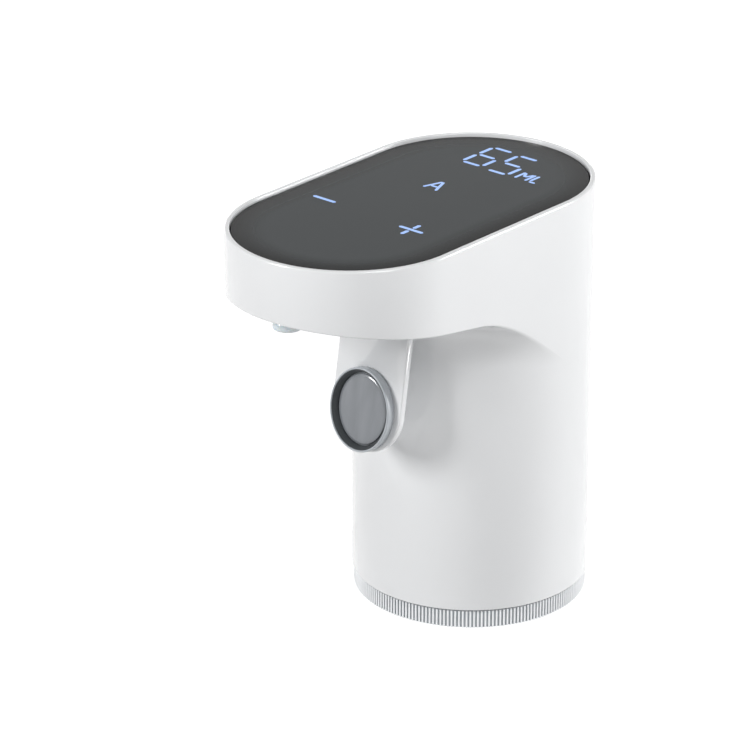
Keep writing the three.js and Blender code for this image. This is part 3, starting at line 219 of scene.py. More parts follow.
# Silicone and nitrile rubber: dull, a little chalky
dark_rubber = finish("moulded_dark_rubber", "3f4346", "34383b", (0.5, 0.62), 6, 0.4, 0.01,
                     **{"IOR": 1.5})
clear_silicone = finish("clear_silicone", "e6e9eb", "dadfe2", (0.35, 0.5), 8, 0.6, 0.008,
                        **{"IOR": 1.41, "Subsurface Weight": 0.25})
# Stainless steel, turned: fine lines, a cool grey and a plain metal's shine
turned_steel = finish("turned_stainless_steel", "c6cacd", "aeb3b7", (0.24, 0.36), 4, 0.25, 0.004,
                      (1, 1, 6), Metallic=1.0)
# Glass-fibre nylon inside: grey, matt, with the mottle of its fibres
fibre_nylon = finish("glass_fibre_nylon", "959a9e", "83888c", (0.48, 0.6), 3, 0.3, 0.012,
                     **{"IOR": 1.52})
# Frosted polycarbonate light guide and display block
frosted_polycarbonate = finish("frosted_polycarbonate", "f0f2f4", "e4e8eb", (0.45, 0.6), 8, 0.3, 0.006,
                               **{"IOR": 1.58, "Subsurface Weight": 0.2})
# Shrink sleeve of the lithium cell: pale blue film with soft wrinkles
shrink_sleeve = finish("shrink_sleeve", "a7bbce", "93a9bf", (0.25, 0.4), 12, 2.5, 0.05, (1, 1, 0.4))
# Acetal gears: creamy, slightly waxy
acetal = finish("cut_acetal", "ece6d7", "e0d9c8", (0.32, 0.42), 5, 0.3, 0.005, **{"IOR": 1.48})
# Anodised aluminium of the base ring: light silver grey with fine turning lines
anodised_aluminium = finish("anodised_aluminium", "f0f1f2", "e4e6e8", (0.26, 0.36), 5, 0.3, 0.004,
                            (1, 1, 8), Metallic=0.55)
# The same metal between the ribs: duller, and darker as painted shade in the grooves
groove_shade_aluminium = finish("anodised_aluminium_groove", "a6abaf", "92979c", (0.4, 0.5), 5, 0.3, 0.004,
                          (1, 1, 8), Metallic=0.4)
# Sintered ferrite ring of the motor: charcoal with a coarse grain
sintered_ferrite = finish("sintered_ferrite", "505356", "3f4245", (0.55, 0.7), 2, 0.25, 0.02)
# PVC sleeve of the leads
lead_sleeve = finish("lead_sleeve", "bb3b32", "a52f28", (0.38, 0.5), 4, 0.5, 0.006)
# Polycarbonate spout: milky and clear at its edge
milky_polycarbonate = finish("milky_polycarbonate", "f1f4f5", "e2ebee", (0.08, 0.15), 5, 1.5, 0.003,
                             **{"IOR": 1.58, "Subsurface Weight": 0.3, "Coat Weight": 0.4})
# Polished grey face of the pad, with long soft light and dark streaks along its height that are painted
# reflections
polished_pad = finish("polished_grey_pad", "989ca1", "6a6e74", (0.12, 0.24), 4, 1.2, 0.003, (1, 1, 0.12),
                      **{"IOR": 1.5, "Coat Weight": 0.5})
# Moulded nylon of the switch: black and matt, and its plunger's red that a fitter can see
switch_nylon = finish("black_switch_nylon", "2a2c2e", "202224", (0.4, 0.5), 3, 0.3, 0.006)
plunger_nylon = finish("red_plunger_nylon", "bd4238", "a8372e", (0.35, 0.45), 3, 0.3, 0.004)


# Tracks run in a grid of half this length by a quarter of it, in millimetres
TRACK_GRID = 9.0


def circuit_board():
    """Lacquered glass-fibre board: green solder mask over paler tracks, drawn coarse enough to show."""
    made = finish("lacquered_circuit_board", "21714a", "1b6341", (0.3, 0.4), 7, 0.5, 0.004,
                  **{"IOR": 1.55})
    tree = made.node_tree
    shader = next(n for n in tree.nodes if n.type == "BSDF_PRINCIPLED")
    mask = shader.inputs["Base Color"].links[0].from_socket
    place = add(tree, "ShaderNodeTexCoord").outputs["Object"]
    tracks = add(tree, "ShaderNodeTexBrick",
                 {"Scale": 1 / (TRACK_GRID * MM), "Color1": linear("000000"), "Color2": linear("000000"),
                  "Mortar": linear("ffffff"), "Mortar Size": 0.03}, {"Vector": place})
    both = add(tree, "ShaderNodeMix", {7: linear("3f9468")}, {0: tracks.outputs["Color"], 6: mask},
               data_type="RGBA")
    tree.links.new(both.outputs[2], shader.inputs["Base Color"])
    return made


# Radians that the wave texture turns through in one unit at scale 1
WAVE_TURNS = 20.0
WIRE_MM = 0.4
CONDUCTOR_MM = 0.5


def banded(name, light, dark, rough, strand_mm, direction, metallic=0.0):
    """Parallel strands, drawn as one band for every six or so, because one is too fine to show."""
    made = finish(name, light, dark, rough, 4, 0.4, 0.004, Metallic=metallic)
    tree = made.node_tree
    shader = next(n for n in tree.nodes if n.type == "BSDF_PRINCIPLED")
    place = add(tree, "ShaderNodeTexCoord").outputs["Object"]
    bands = add(tree, "ShaderNodeTexWave", {"Scale": 1 / (WAVE_TURNS * strand_mm * MM)},
                {"Vector": place}, bands_direction=direction)
    tone = add(tree, "ShaderNodeMix", {6: linear(dark), 7: linear(light)}, {0: bands.outputs["Fac"]},
               data_type="RGBA")
    tree.links.new(tone.outputs[2], shader.inputs["Base Color"])
    return made


def smoked(name):
    """Smoked acrylic, low in reflection, with painted shade that darkens it to black at its rim and fades
    out towards the middle.
    """
    made = finish(name, "34393b", "303537", (0.2, 0.28), 30, 5, 0.002, **{"IOR": 1.18})
    tree = made.node_tree
    shader = next(n for n in tree.nodes if n.type == "BSDF_PRINCIPLED")
    tone = shader.inputs["Base Color"].links[0].from_socket
    place = add(tree, "ShaderNodeTexCoord").outputs["Object"]
    place = add(tree, "ShaderNodeSeparateXYZ", links={"Vector": place}).outputs
    beyond = add(tree, "ShaderNodeClamp", {"Min": (COLUMN_Y - HEAD_REACH) * MM, "Max": COLUMN_Y * MM},
                 {"Value": place["Y"]})
    along = add(tree, "ShaderNodeMath", links={0: place["Y"], 1: beyond.outputs["Result"]},
                operation="SUBTRACT")
    away = add(tree, "ShaderNodeCombineXYZ", links={"X": place["X"], "Y": along.outputs[0]})
    reach = add(tree, "ShaderNodeVectorMath", links={0: away.outputs["Vector"]}, operation="LENGTH")
    # Painted shade: black towards the rim, where the rounded edge looks dark
    rim_shade = add(tree, "ShaderNodeMapRange",
                 {"From Min": (PANEL_RADIUS - RIM_SHADE_WIDTH) * MM,
                  "From Max": (PANEL_RADIUS - RIM_SHADE_MARGIN) * MM},
                 {"Value": reach.outputs["Value"]}, interpolation_type="SMOOTHSTEP")
    both = add(tree, "ShaderNodeMix", {7: linear("0b0c0c")}, {0: rim_shade.outputs["Result"], 6: tone},
               data_type="RGBA")
    tree.links.new(both.outputs[2], shader.inputs["Base Color"])
    return made


# Hard-coated smoked acrylic: near black from above, a soft grey where it mirrors white at a slant
smoked_acrylic = smoked("hard_coated_smoked_acrylic")
solder_mask = circuit_board()
# Enamelled copper of the rotor: brown and glossy, with a band for every 2.5 mm of its height
winding = banded("enamelled_copper_winding", "a8703f", "6e4322", (0.3, 0.45), WIRE_MM, "Z", 0.6)
# Flexible ribbon: amber film with bands of 3.1 mm along its conductors
ribbon = banded("laminated_ribbon", "e0d2a8", "b99b58", (0.3, 0.4), CONDUCTOR_MM, "X")


CLOUD_MM = 3.0


def lit(name, light, dark):
    """Light from a diode seen through the panel: it glows at the level of its own colour."""
    made = bpy.data.materials.new(name)
    made.use_nodes = True
    tree = made.node_tree
    tree.nodes.clear()
    place = add(tree, "ShaderNodeTexCoord").outputs["Object"]
    cloud = add(tree, "ShaderNodeTexNoise", {"Scale": 1 / (CLOUD_MM * MM), "Detail": 2.0},
                {"Vector": place})
    tone = add(tree, "ShaderNodeMix", {6: linear(dark), 7: linear(light)}, {0: cloud.outputs["Fac"]},
               data_type="RGBA")
    shader = add(tree, "ShaderNodeBsdfPrincipled",
                 {"Base Color": linear("30343a"), "Roughness": 0.4, "Emission Strength": 1.0},
                 {"Emission Color": tone.outputs[2]})
    add(tree, "ShaderNodeOutputMaterial", links={"Surface": shader.outputs["BSDF"]})
    return made


# Blue diodes behind the panel: pale ice blue, a little uneven along each bar
blue_diode = lit("blue_diode_light", "a4c3fa", "84acf0")

CAD_FINISHES = {
    abs_gloss: "housing_shell cup_lever",
    grey_abs: "lever_pad",
    smoked_acrylic: "touch_panel",
    dark_rubber: "panel_gasket touch_pad_minus touch_pad_plus touch_pad_mode battery_foam pump_gasket"
                 " shaft_seal nozzle_seal neck_seal pad_liner",
    clear_silicone: "inlet_hose outlet_hose bottle_stopper vent_valve",
    turned_steel: "charge_socket idler_pin pump_screw_1 pump_screw_2 pump_screw_3 pump_screw_4 motor_case"
                  " motor_shaft lever_pin lever_spring stem seat_screw_1 seat_screw_2 seat_screw_3"
                  " board_screw_1 board_screw_2",
    solder_mask: "display_board main_board charge_board",
    fibre_nylon: "chassis motor_end_cap pump_body pump_cover base_plate bottle_seat",
    frosted_polycarbonate: "light_guide digit_module",
    shrink_sleeve: "battery_cell",
    acetal: "drive_gear idler_gear",
    anodised_aluminium: "knurled_ring",
    sintered_ferrite: "motor_magnet",
    winding: "motor_rotor",
    lead_sleeve: "motor_lead battery_lead",
    ribbon: "display_ribbon",
    milky_polycarbonate: "nozzle",
    polished_pad: "pad_face",
    switch_nylon: "micro_switch",
    plunger_nylon: "switch_plunger",
}
for material, names in CAD_FINISHES.items():
    for name in names.split():
        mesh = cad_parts[name].data
        mesh.materials.clear()
        mesh.materials.append(material)


# Mesh tools. Points nearer than this, in metres, are one, in a mesh made here and in a CAD node.
SAME_POINT = 1e-7
SAME_CAD_POINT = 1e-6


def built(name, points, faces):
    """A mesh object from points in millimetres, with doubles merged and faces turned outwards."""
    mesh = bpy.data.meshes.new(name)
    mesh.from_pydata([Vector(p) * MM for p in points], [], faces)
    shape = bmesh.new()
    shape.from_mesh(mesh)
    bmesh.ops.remove_doubles(shape, verts=shape.verts, dist=SAME_POINT)
    bmesh.ops.dissolve_degenerate(shape, edges=shape.edges, dist=SAME_POINT)
    bmesh.ops.recalc_face_normals(shape, faces=shape.faces)
    shape.to_mesh(mesh)
    shape.free()
    made = bpy.data.objects.new(name, mesh)
    scene.collection.objects.link(made)
    return made


def carve(piece, other, operation="DIFFERENCE"):
    """Cuts, joins or keeps what two closed solids share, and removes the second."""
    step = piece.modifiers.new("carve", "BOOLEAN")
    step.object = other
    step.operation = operation
    step.solver = "MANIFOLD"
    bpy.context.view_layer.update()
    whole = bpy.data.meshes.new_from_object(piece.evaluated_get(bpy.context.evaluated_depsgraph_get()))
    piece.modifiers.clear()
    piece.data = whole
    bpy.data.objects.remove(other)
    return piece


def cad_copy(node, name):
    """A merged copy of a CAD node as a closed solid."""
    made = bpy.data.objects.new(name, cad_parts[node].data.copy())
    scene.collection.objects.link(made)
    shape = bmesh.new()
    shape.from_mesh(made.data)
    bmesh.ops.remove_doubles(shape, verts=shape.verts, dist=SAME_CAD_POINT)
    shape.to_mesh(made.data)
    shape.free()
    return made


def swept(name, outline, rows):
    """Closed solid from rows of (inset, level); outline(inset, level) gives the points of one row."""
    rings = [outline(inset, level) for inset, level in rows]
    count = len(rings[0])
    points = [p for ring in rings for p in ring]
    faces = [list(range(count)), list(range(len(points) - count, len(points)))]
    for row in range(len(rings) - 1):
        base = row * count
        for i in range(count):
            after = (i + 1) % count
            faces.append([base + i, base + after, base + count + after, base + count + i])
    return built(name, points, faces)


def block(name, low, high):
    """An upright box between two corners."""
    corners = [(x, y, z) for x in (low[0], high[0]) for y in (low[1], high[1])
               for z in (low[2], high[2])]
    sides = [(0, 1, 3, 2), (4, 6, 7, 5), (0, 4, 5, 1), (2, 3, 7, 6), (0, 2, 6, 4), (1, 5, 7, 3)]
    return built(name, corners, sides)


def stadium_at(radius, height, sides=ROUND_SIDES):
    """Points round the column and the head's front arc at one height."""
    points = []
    for start, centre in ((0, 0), (math.pi, -HEAD_REACH)):
        for i in range(sides + 1):
            angle = start + math.pi * i / sides
            points.append((radius * math.cos(angle), COLUMN_Y + centre + radius * math.sin(angle),
                           height))
    return points


def circle_at(radius, height, y=COLUMN_Y, sides=ROUND_SIDES):
    """Points round an upright axis at one height."""
    angles = [math.tau * i / sides for i in range(sides)]
    return [(radius * math.cos(angle), y + radius * math.sin(angle), height) for angle in angles]


def dressed(piece, material, body, slot, *nodes, angle=32):
    """Smooth shading up to an angle, its material, its body and the nodes that it stands for; the slot is
    not used.
    """
    piece.data.materials.clear()
    piece.data.materials.append(material)
    piece.data.polygons.foreach_set("material_index", [0] * len(piece.data.polygons))
    piece.data.shade_smooth()
    piece.data.set_sharp_from_angle(angle=math.radians(angle))
    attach(piece, body)
    if nodes:
        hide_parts(*nodes)


def rounded(radius, steps):
    """Pairs along a quarter of a circle: (cosine, sine) times the radius."""
    angles = [math.pi / 2 * i / steps for i in range(steps + 1)]
    return [(radius * math.cos(angle), radius * math.sin(angle)) for angle in angles]


# Housing

def underside(x, v, inset):
    """Height of the head's underside, with the fillet into the column and the rounded rim."""
    plane = UNDERSIDE - v * math.tan(TILT) + inset
    spread = min(max((math.hypot(x, v) - BODY_RADIUS + inset) / (FILLET + inset), 0), 1)
    drop = (FILLET + inset) * (1 - math.sqrt(max(2 * spread - spread ** 2, 0)))
    edge = BODY_RADIUS - inset - (abs(x) if v > -HEAD_REACH else math.hypot(x, v + HEAD_REACH))
    near = RIM_ROUND - min(max(edge, 0), RIM_ROUND)
    return plane - drop + RIM_ROUND - math.sqrt(RIM_ROUND ** 2 - near ** 2)


# Nought spaces the stations evenly, and one would crowd them all at the column
STATION_CROWDING = 0.62


def front_station(share, radius):
    """A point on the head's outline, from the column's left side round the front to its right side."""
    length = 2 * HEAD_REACH + math.pi * radius
    way = length * (share - STATION_CROWDING * math.sin(math.tau * share) / math.tau)
    if way < HEAD_REACH:
        return -radius, -way
    if way > length - HEAD_REACH:
        return radius, way - length
    angle = math.pi + (way - HEAD_REACH) / radius
    return radius * math.cos(angle), -HEAD_REACH + radius * math.sin(angle)


# Where the head's outline comes near the column, the fillet and the rim take no more than this of the way
FILLET_SHARE = 0.6
RIM_SHARE = 0.3
SHORTEST_SPAN = 1e-9


def outer_form(name, inset):
    """Head, column and fillet as one closed solid, drawn in by an inset."""
    radius = BODY_RADIUS - inset
    top = BODY_TOP - inset
    foot = COLUMN_FOOT + inset
    lip = [(LIP_ROUND - a, top - LIP_ROUND + b) for a, b in rounded(LIP_ROUND, CORNER_STEPS)]
    toe = [(TOE_ROUND - a, foot + TOE_ROUND - b) for a, b in rounded(TOE_ROUND, FINE_CORNER_STEPS)]
    points, faces = [], []

    def strip(rows):
        """Quads between rows of equal length."""
        count = len(rows[0])
        base = len(points)
        for row in rows:
            points.extend(row)
        for j in range(len(rows) - 1):
            for i in range(count - 1):
                a = base + j * count + i
                faces.append([a, a + 1, a + count + 1, a + count])

    def drawn(x, v, draw, height):
        """A point of the outline moved in by a distance, at a height."""
        centre = min(max(v, -HEAD_REACH), 0)
        scale = (radius - draw) / radius
        return x * scale, COLUMN_Y + centre + (v - centre) * scale, height

    def shrunk(x, v, draw, height):
        """A point of the column moved in by a distance, at a height."""
        return x * (radius - draw) / radius, COLUMN_Y + v * (radius - draw) / radius, height

    shares = [i / STATIONS for i in range(STATIONS + 1)]
    front = [front_station(share, radius) for share in shares]
    back = [(radius * math.cos(math.pi * i / REAR_STEPS), radius * math.sin(math.pi * i / REAR_STEPS))
            for i in range(REAR_STEPS + 1)]
    circle = [(radius * math.cos(math.pi * (1 + share)), radius * math.sin(math.pi * (1 + share)))
              for share in shares]

    walls = [[(x, COLUMN_Y + v, underside(x, v, inset)) for x, v in front]]
    walls += [[drawn(x, v, draw, height) for x, v in front] for draw, height in lip]
    strip(walls)
    seam = underside(radius, 0.0, inset)
    band = (PORT_HEIGHT - PORT_BAND, PORT_HEIGHT + PORT_BAND)
    rears = [[drawn(x, v, draw, height) for x, v in back] for draw, height in reversed(toe)]
    rears += [[drawn(x, v, 0.0, height) for x, v in back] for height in band]
    rears += [[drawn(x, v, 0.0, seam) for x, v in back]]
    rears += [[drawn(x, v, draw, height) for x, v in back] for draw, height in lip]
    strip(rears)

    inner_ways = [FILLET * (1 - math.cos(math.pi / 2 * i / FILLET_STEPS))
                  for i in range(FILLET_STEPS + 1)]
    outer_ways = [RIM_ROUND * (1 - math.sin(math.pi / 2 * i / RIM_STEPS))
                  for i in range(RIM_STEPS + 1)]
    below = []
    for (px, pv), (cx, cv) in zip(front, circle):
        span = math.hypot(px - cx, pv - cv)
        near = [min(way, span * FILLET_SHARE * way / FILLET) for way in inner_ways]
        far = [span - min(way, span * RIM_SHARE * way / RIM_ROUND) for way in outer_ways]
        middle = [near[-1] + (far[0] - near[-1]) * i / MIDDLE_STEPS for i in range(1, MIDDLE_STEPS)]
        line = []
        for way in near + middle + far:
            share = way / span if span > SHORTEST_SPAN else 0
            x, v = cx + (px - cx) * share, cv + (pv - cv) * share
            line.append((x, COLUMN_Y + v, underside(x, v, inset)))
        below.append(line)
    strip([list(row) for row in zip(*below)])
    column = [[(x, COLUMN_Y + v, underside(x, v, inset)) for x, v in circle]]
    column += [[(x, COLUMN_Y + v, height) for x, v in circle] for height in reversed(band)]
    column += [[shrunk(x, v, draw, height) for x, v in circle] for draw, height in toe]
    strip(column)

    cap = [drawn(x, v, *lip[-1]) for x, v in front + back[1:-1]]
    sole = [drawn(x, v, *toe[-1]) for x, v in back]
    sole += [shrunk(x, v, *toe[-1]) for x, v in circle[1:-1]]
    for outline in (cap, sole):
        faces.append(list(range(len(points), len(points) + len(outline))))
        points.extend(outline)
    return built(name, points, faces)


def port_outline(half_width, half_height):
    """Round-ended outline of the charging port, standing across Y."""
    def outline(inset, level):
        small = half_height - inset
        points = []
        for side, start in ((1, -math.pi / 2), (-1, math.pi / 2)):
            middle = side * (half_width - half_height)
            for i in range(PORT_STEPS + 1):
                angle = start + math.pi * i / PORT_STEPS
                points.append((middle + small * math.cos(angle), level,
                               PORT_HEIGHT + small * math.sin(angle)))
        return points
    return outline


def at_nozzle(sides):
    """The outline of what turns round the nozzle's axis."""
    def outline(radius, level):
        return circle_at(radius, level, NOZZLE_Y, sides)
    return outline


def housing():
    """The white moulding: a fine outer skin over the CAD shell's inner walls, bosses and lugs."""
    hollow = carve(outer_form("hollow", SKIN), cad_copy("housing_shell", "shell"))
    skin = carve(outer_form("housing_skin", 0.0), hollow)
    pocket = [(POCKET_RADIUS, LEDGE_TOP)]
    pocket += [(POCKET_RADIUS + out, BODY_TOP + up) for out, up in POCKET_MOUTH]
    carve(skin, swept("pocket", stadium_at, pocket))
    carve(skin, swept("base_bore", circle_at, [(INNER_RADIUS, 0.0), (INNER_RADIUS, BASE_BORE_TOP)]))
    half = LEVER_HALF + LEVER_GAP
    slot_front = COLUMN_Y - LEVER_FRONT - (LEVER_SLOT - LEVER_THICKNESS) / 2
    slot_foot = UNDERSIDE - FILLET
    carve(skin, block("slot", (-half, slot_front, slot_foot), (half, slot_front + LEVER_SLOT, SLOT_TOP)))
    carve(skin, swept("nozzle_hole", at_nozzle(NOZZLE_HOLE_STEPS), NOZZLE_HOLE))
    window = port_outline(PORT_HALF_WIDTH + PORT_WINDOW_GAP, PORT_HALF_HEIGHT + PORT_WINDOW_GAP)
    carve(skin, swept("window", window, PORT_WINDOW))
    dressed(skin, abs_gloss, "housing", "gloss_white", "housing_shell")


housing()


# Touch panel and its marks

def panel():
    """Glass that falls away gently towards its rim and is rounded off at the very edge."""
    inner = PANEL_RADIUS - PANEL_EDGE_ROUND
    foot = PANEL_TOP - PANEL_EDGE_DROP
    corner = rounded(PANEL_EDGE_ROUND, CORNER_STEPS)
    edge = [(inner + a, foot - PANEL_EDGE_ROUND + b) for a, b in corner]
    shares = [i / PANEL_EDGE_STEPS for i in reversed(range(PANEL_EDGE_STEPS))]
    slope = [(inner - PANEL_EDGE_WIDTH * (1 - share),
              PANEL_TOP - PANEL_EDGE_DROP * share ** PANEL_EDGE_POWER) for share in shares]
    rows = [(PANEL_RADIUS - PANEL_FOOT_CHAMFER, PANEL_FOOT),
            (PANEL_RADIUS, PANEL_FOOT + PANEL_FOOT_CHAMFER)]
    glass = swept("panel_glass", stadium_at, rows + edge + slope)
    dressed(glass, smoked_acrylic, "housing", "smoked_panel", "touch_panel", angle=60)


# Each bar runs from one end (X, V) to the other, in a digit's own frame or in the panel's
DIGIT_BARS = {
    "top": ((1.1, 13.2), (6.3, 13.2)),
    "upper_left": ((0.6, 12.7), (0.6, 7.6)),
    "middle": ((1.1, 7.0), (6.0, 7.0)),
    "lower_left": ((0.6, 6.4), (0.6, 1.3)),
    "lower_right": ((6.8, 6.4), (6.8, 1.3)),
    "bottom": ((1.1, 0.7), (6.3, 0.7)),
}
SIX = ("top", "upper_left", "middle", "lower_left", "lower_right", "bottom")
FIVE = ("top", "upper_left", "middle", "lower_right", "bottom")
# The bars that are lit, and the X and V of the digit's lower left corner
DIGIT_PLACES = ((SIX, -9.4, 5.4), (FIVE, -0.9, 4.9))
BAR_WIDTH = 1.0
LETTER_WIDTH = 0.75
BAR_TIP_SHARE = 0.45
MARK_HEIGHT = 0.04
LETTER_BARS = [
    ((8.5, 5.5), (8.5, 10.0)), ((8.8, 9.8), (10.0, 7.4)),
    ((10.2, 7.4), (11.4, 9.8)), ((11.7, 10.0), (11.7, 5.5)),
    ((12.9, 10.0), (12.9, 6.1)), ((12.9, 5.6), (14.9, 5.6)),
    ((-4.5, -13.9), (-2.7, -8.4)), ((-2.4, -8.4), (-0.3, -14.1)), ((-3.5, -12.0), (-1.3, -12.0)),
]
SIGN_BARS = [
    ((-20.6, -36.0), (-13.3, -36.0)),
    ((8.3, -37.7), (15.8, -37.7)), ((12.0, -34.1), (12.0, -36.9)), ((12.0, -38.5), (12.0, -41.4)),
]


def marks():
    """The lit figures and signs, as thin plates on the panel's face."""
    bars = [(a, b, LETTER_WIDTH) for a, b in LETTER_BARS] + [(a, b, BAR_WIDTH) for a, b in SIGN_BARS]
    for names, left, foot in DIGIT_PLACES:
        for name in names:
            (ax, av), (bx, bv) = DIGIT_BARS[name]
            bars.append(((ax + left, av + foot), (bx + left, bv + foot), BAR_WIDTH))
    points, faces = [], []
    for (ax, av), (bx, bv), width in bars:
        length = math.hypot(bx - ax, bv - av)
        along = ((bx - ax) / length, (bv - av) / length)
        across = (-along[1], along[0])
        half, tip = width / 2, width * BAR_TIP_SHARE
        shape = [(0, 0), (tip, half), (length - tip, half),
                 (length, 0), (length - tip, -half), (tip, -half)]
        base, count = len(points), len(shape)
        for height in (PANEL_TOP - MARK_HEIGHT, PANEL_TOP + MARK_HEIGHT):
            for s, t in shape:
                x, v = ax + along[0] * s + across[0] * t, av + along[1] * s + across[1] * t
                points.append((x, COLUMN_Y + v, height))
        faces.append([base + i for i in range(count)])
        faces.append([base + count + i for i in range(count)])
        faces += [[base + i, base + (i + 1) % count, base + count + (i + 1) % count, base + count + i]
                  for i in range(count)]
    dressed(built("lit_marks", points, faces), blue_diode, "housing", "frosted")


panel()
marks()


# Cup lever and its pad

lever_place = Matrix.Translation(Vector(HINGE) * MM) @ Matrix.Rotation(-TILT, 4, "X")


def tongue():
    """A flat tongue with a round end, joined to the CAD lever's hub."""
    def outline(inset, level):
        half = LEVER_HALF - inset
        turns = [-math.pi * i / TONGUE_STEPS for i in range(TONGUE_STEPS + 1)]
        end = [(half * math.cos(turn), level, -PAD_DROP + half * math.sin(turn)) for turn in turns]
        return [(half, level, TONGUE_TOP)] + end + [(-half, level, TONGUE_TOP)]

    face = LEVER_THICKNESS / 2
    corner = rounded(LEVER_EDGE, FINE_CORNER_STEPS)
    front = [(LEVER_EDGE - a, -face + LEVER_EDGE - b) for a, b in corner]
    rear = [(LEVER_EDGE - a, face - LEVER_EDGE + b) for a, b in corner]
    plate = swept("lever_tongue", outline, front[::-1] + rear)
    plate.data.transform(lever_place)
    low = block("below", *HUB_CUT)
    low.data.transform(lever_place)
    carve(plate, carve(cad_copy("cup_lever", "hub"), low), "UNION")
    dressed(plate, abs_gloss, "lever", "gloss_white", "cup_lever", angle=40)


def oval(name, rows):
    """Oval solid from rows of (inset from the pad's edge, height over the tongue's face)."""
    turns = [math.tau * i / OVAL_STEPS for i in range(OVAL_STEPS)]

    def outline(inset, level):
        return [((PAD_HALF_WIDTH - inset) * math.cos(turn), -LEVER_THICKNESS / 2 - level,
                 -PAD_DROP + (PAD_HALF_HEIGHT - inset) * math.sin(turn)) for turn in turns]

    made = swept(name, outline, rows)
    made.data.transform(lever_place)
    return made


def pad():
    """Oval bumper: a thin bezel, a dark liner inside it whose dark is partly painted shade of the recess,
    and a polished grey face at its floor.
    """
    outer = rounded(BEZEL_ROUND, CORNER_STEPS)
    inner = rounded(BEZEL_INNER_ROUND, BEZEL_INNER_STEPS)
    rows = BEZEL_FOOT + [(BEZEL_ROUND - a, PAD_FRONT - BEZEL_ROUND + b) for a, b in outer]
    rows += [(PAD_RIM - BEZEL_INNER_ROUND + b, PAD_FRONT - BEZEL_INNER_ROUND + a) for a, b in inner]
    bezel = oval("pad_bezel", rows + [(PAD_RIM, BEZEL_FLOOR)])
    dressed(bezel, grey_abs, "lever", "pad_grey", "lever_pad", angle=50)
    # The liner is dark rubber, and its dark also stands in for the shade on the recess's wall
    liner = oval("pad_ring", LINER_OUTSIDE + LINER_ROOM[-2:0:-1])
    carve(liner, oval("ring_room", LINER_ROOM))
    dressed(liner, dark_rubber, "lever", "dark_rubber", "pad_liner", angle=50)
    dressed(oval("pad_gloss", FACE_CROWN), polished_pad, "lever", "pad_grey", "pad_face", angle=60)


tongue()
pad()


# Spout

def spout():
    """Round spout with a rounded mouth, joined to what the CAD nozzle has above it."""
    outline = at_nozzle(SPOUT_STEPS)
    corner = rounded(NOZZLE_ROUND, FINE_CORNER_STEPS)
    rows = [(NOZZLE_RADIUS, NOZZLE_SHOULDER)]
    rows += [(NOZZLE_RADIUS - NOZZLE_ROUND + a, NOZZLE_FOOT + NOZZLE_ROUND - b) for a, b in corner]
    outer = swept("spout", outline, rows[::-1])
    below = block("below", (-NOZZLE_CUT_HALF, NOZZLE_Y - NOZZLE_CUT_HALF, NOZZLE_CUT_FOOT),
                  (NOZZLE_CUT_HALF, NOZZLE_Y + NOZZLE_CUT_HALF, NOZZLE_CUT_TOP))
    carve(outer, carve(cad_copy("nozzle", "upper"), below), "UNION")
    carve(outer, swept("bore", outline, NOZZLE_BORE))
    dressed(outer, milky_polycarbonate, "housing", "nozzle_white", "nozzle", angle=40)


spout()


# Knurled ring

def rib_tree():
    """Ribs round a circle: upright rods of a few sides, half sunk in the ring's face."""
    tree = bpy.data.node_groups.new("knurl", "GeometryNodeTree")
    tree.interface.new_socket("Geometry", in_out="INPUT", socket_type="NodeSocketGeometry")
    sizes = {"Count": "NodeSocketInt", "Circle": "NodeSocketFloat", "Rib Radius": "NodeSocketFloat",
             "Rib Height": "NodeSocketFloat", "Foot": "NodeSocketFloat"}
    for name, kind in sizes.items():
        tree.interface.new_socket(name, in_out="INPUT", socket_type=kind)
    tree.interface.new_socket("Material", in_out="INPUT", socket_type="NodeSocketMaterial")
    tree.interface.new_socket("Geometry", in_out="OUTPUT", socket_type="NodeSocketGeometry")
    given = add(tree, "NodeGroupInput").outputs
    places = add(tree, "GeometryNodeMeshCircle",
                 links={"Vertices": given["Count"], "Radius": given["Circle"]})
    rod = add(tree, "GeometryNodeMeshCylinder", {"Vertices": RIB_SIDES},
              {"Radius": given["Rib Radius"], "Depth": given["Rib Height"]})
    ribs = add(tree, "GeometryNodeInstanceOnPoints",
               links={"Points": places.outputs["Mesh"], "Instance": rod.outputs["Mesh"]})
    rise = add(tree, "ShaderNodeCombineXYZ", {"Y": COLUMN_Y * MM}, {"Z": given["Foot"]})
    moved = add(tree, "GeometryNodeTransform", links={"Geometry": ribs.outputs["Instances"],
                                                      "Translation": rise.outputs["Vector"]})
    real = add(tree, "GeometryNodeRealizeInstances", links={"Geometry": moved.outputs["Geometry"]})
    painted = add(tree, "GeometryNodeSetMaterial",
                  links={"Geometry": real.outputs["Geometry"], "Material": given["Material"]})
    add(tree, "NodeGroupOutput", links={"Geometry": painted.outputs["Geometry"]})
    return tree


def grown(name, tree, material, **values):
    """The plain mesh that a Geometry Nodes tree makes, with its inputs set by identifier."""
    made = bpy.data.objects.new(name, bpy.data.meshes.new(name))
    scene.collection.objects.link(made)
    step = made.modifiers.new("grow", "NODES")
    step.node_group = tree
    for item in tree.interface.items_tree:
        key = item.name.replace(" ", "_").lower()
        if item.in_out == "INPUT" and key in values:
            step[item.identifier] = values[key]
        if item.in_out == "INPUT" and item.name == "Material":
            step[item.identifier] = material
    bpy.context.view_layer.update()
    whole = bpy.data.meshes.new_from_object(made.evaluated_get(bpy.context.evaluated_depsgraph_get()))
    made.modifiers.clear()
    made.data = whole
    return made


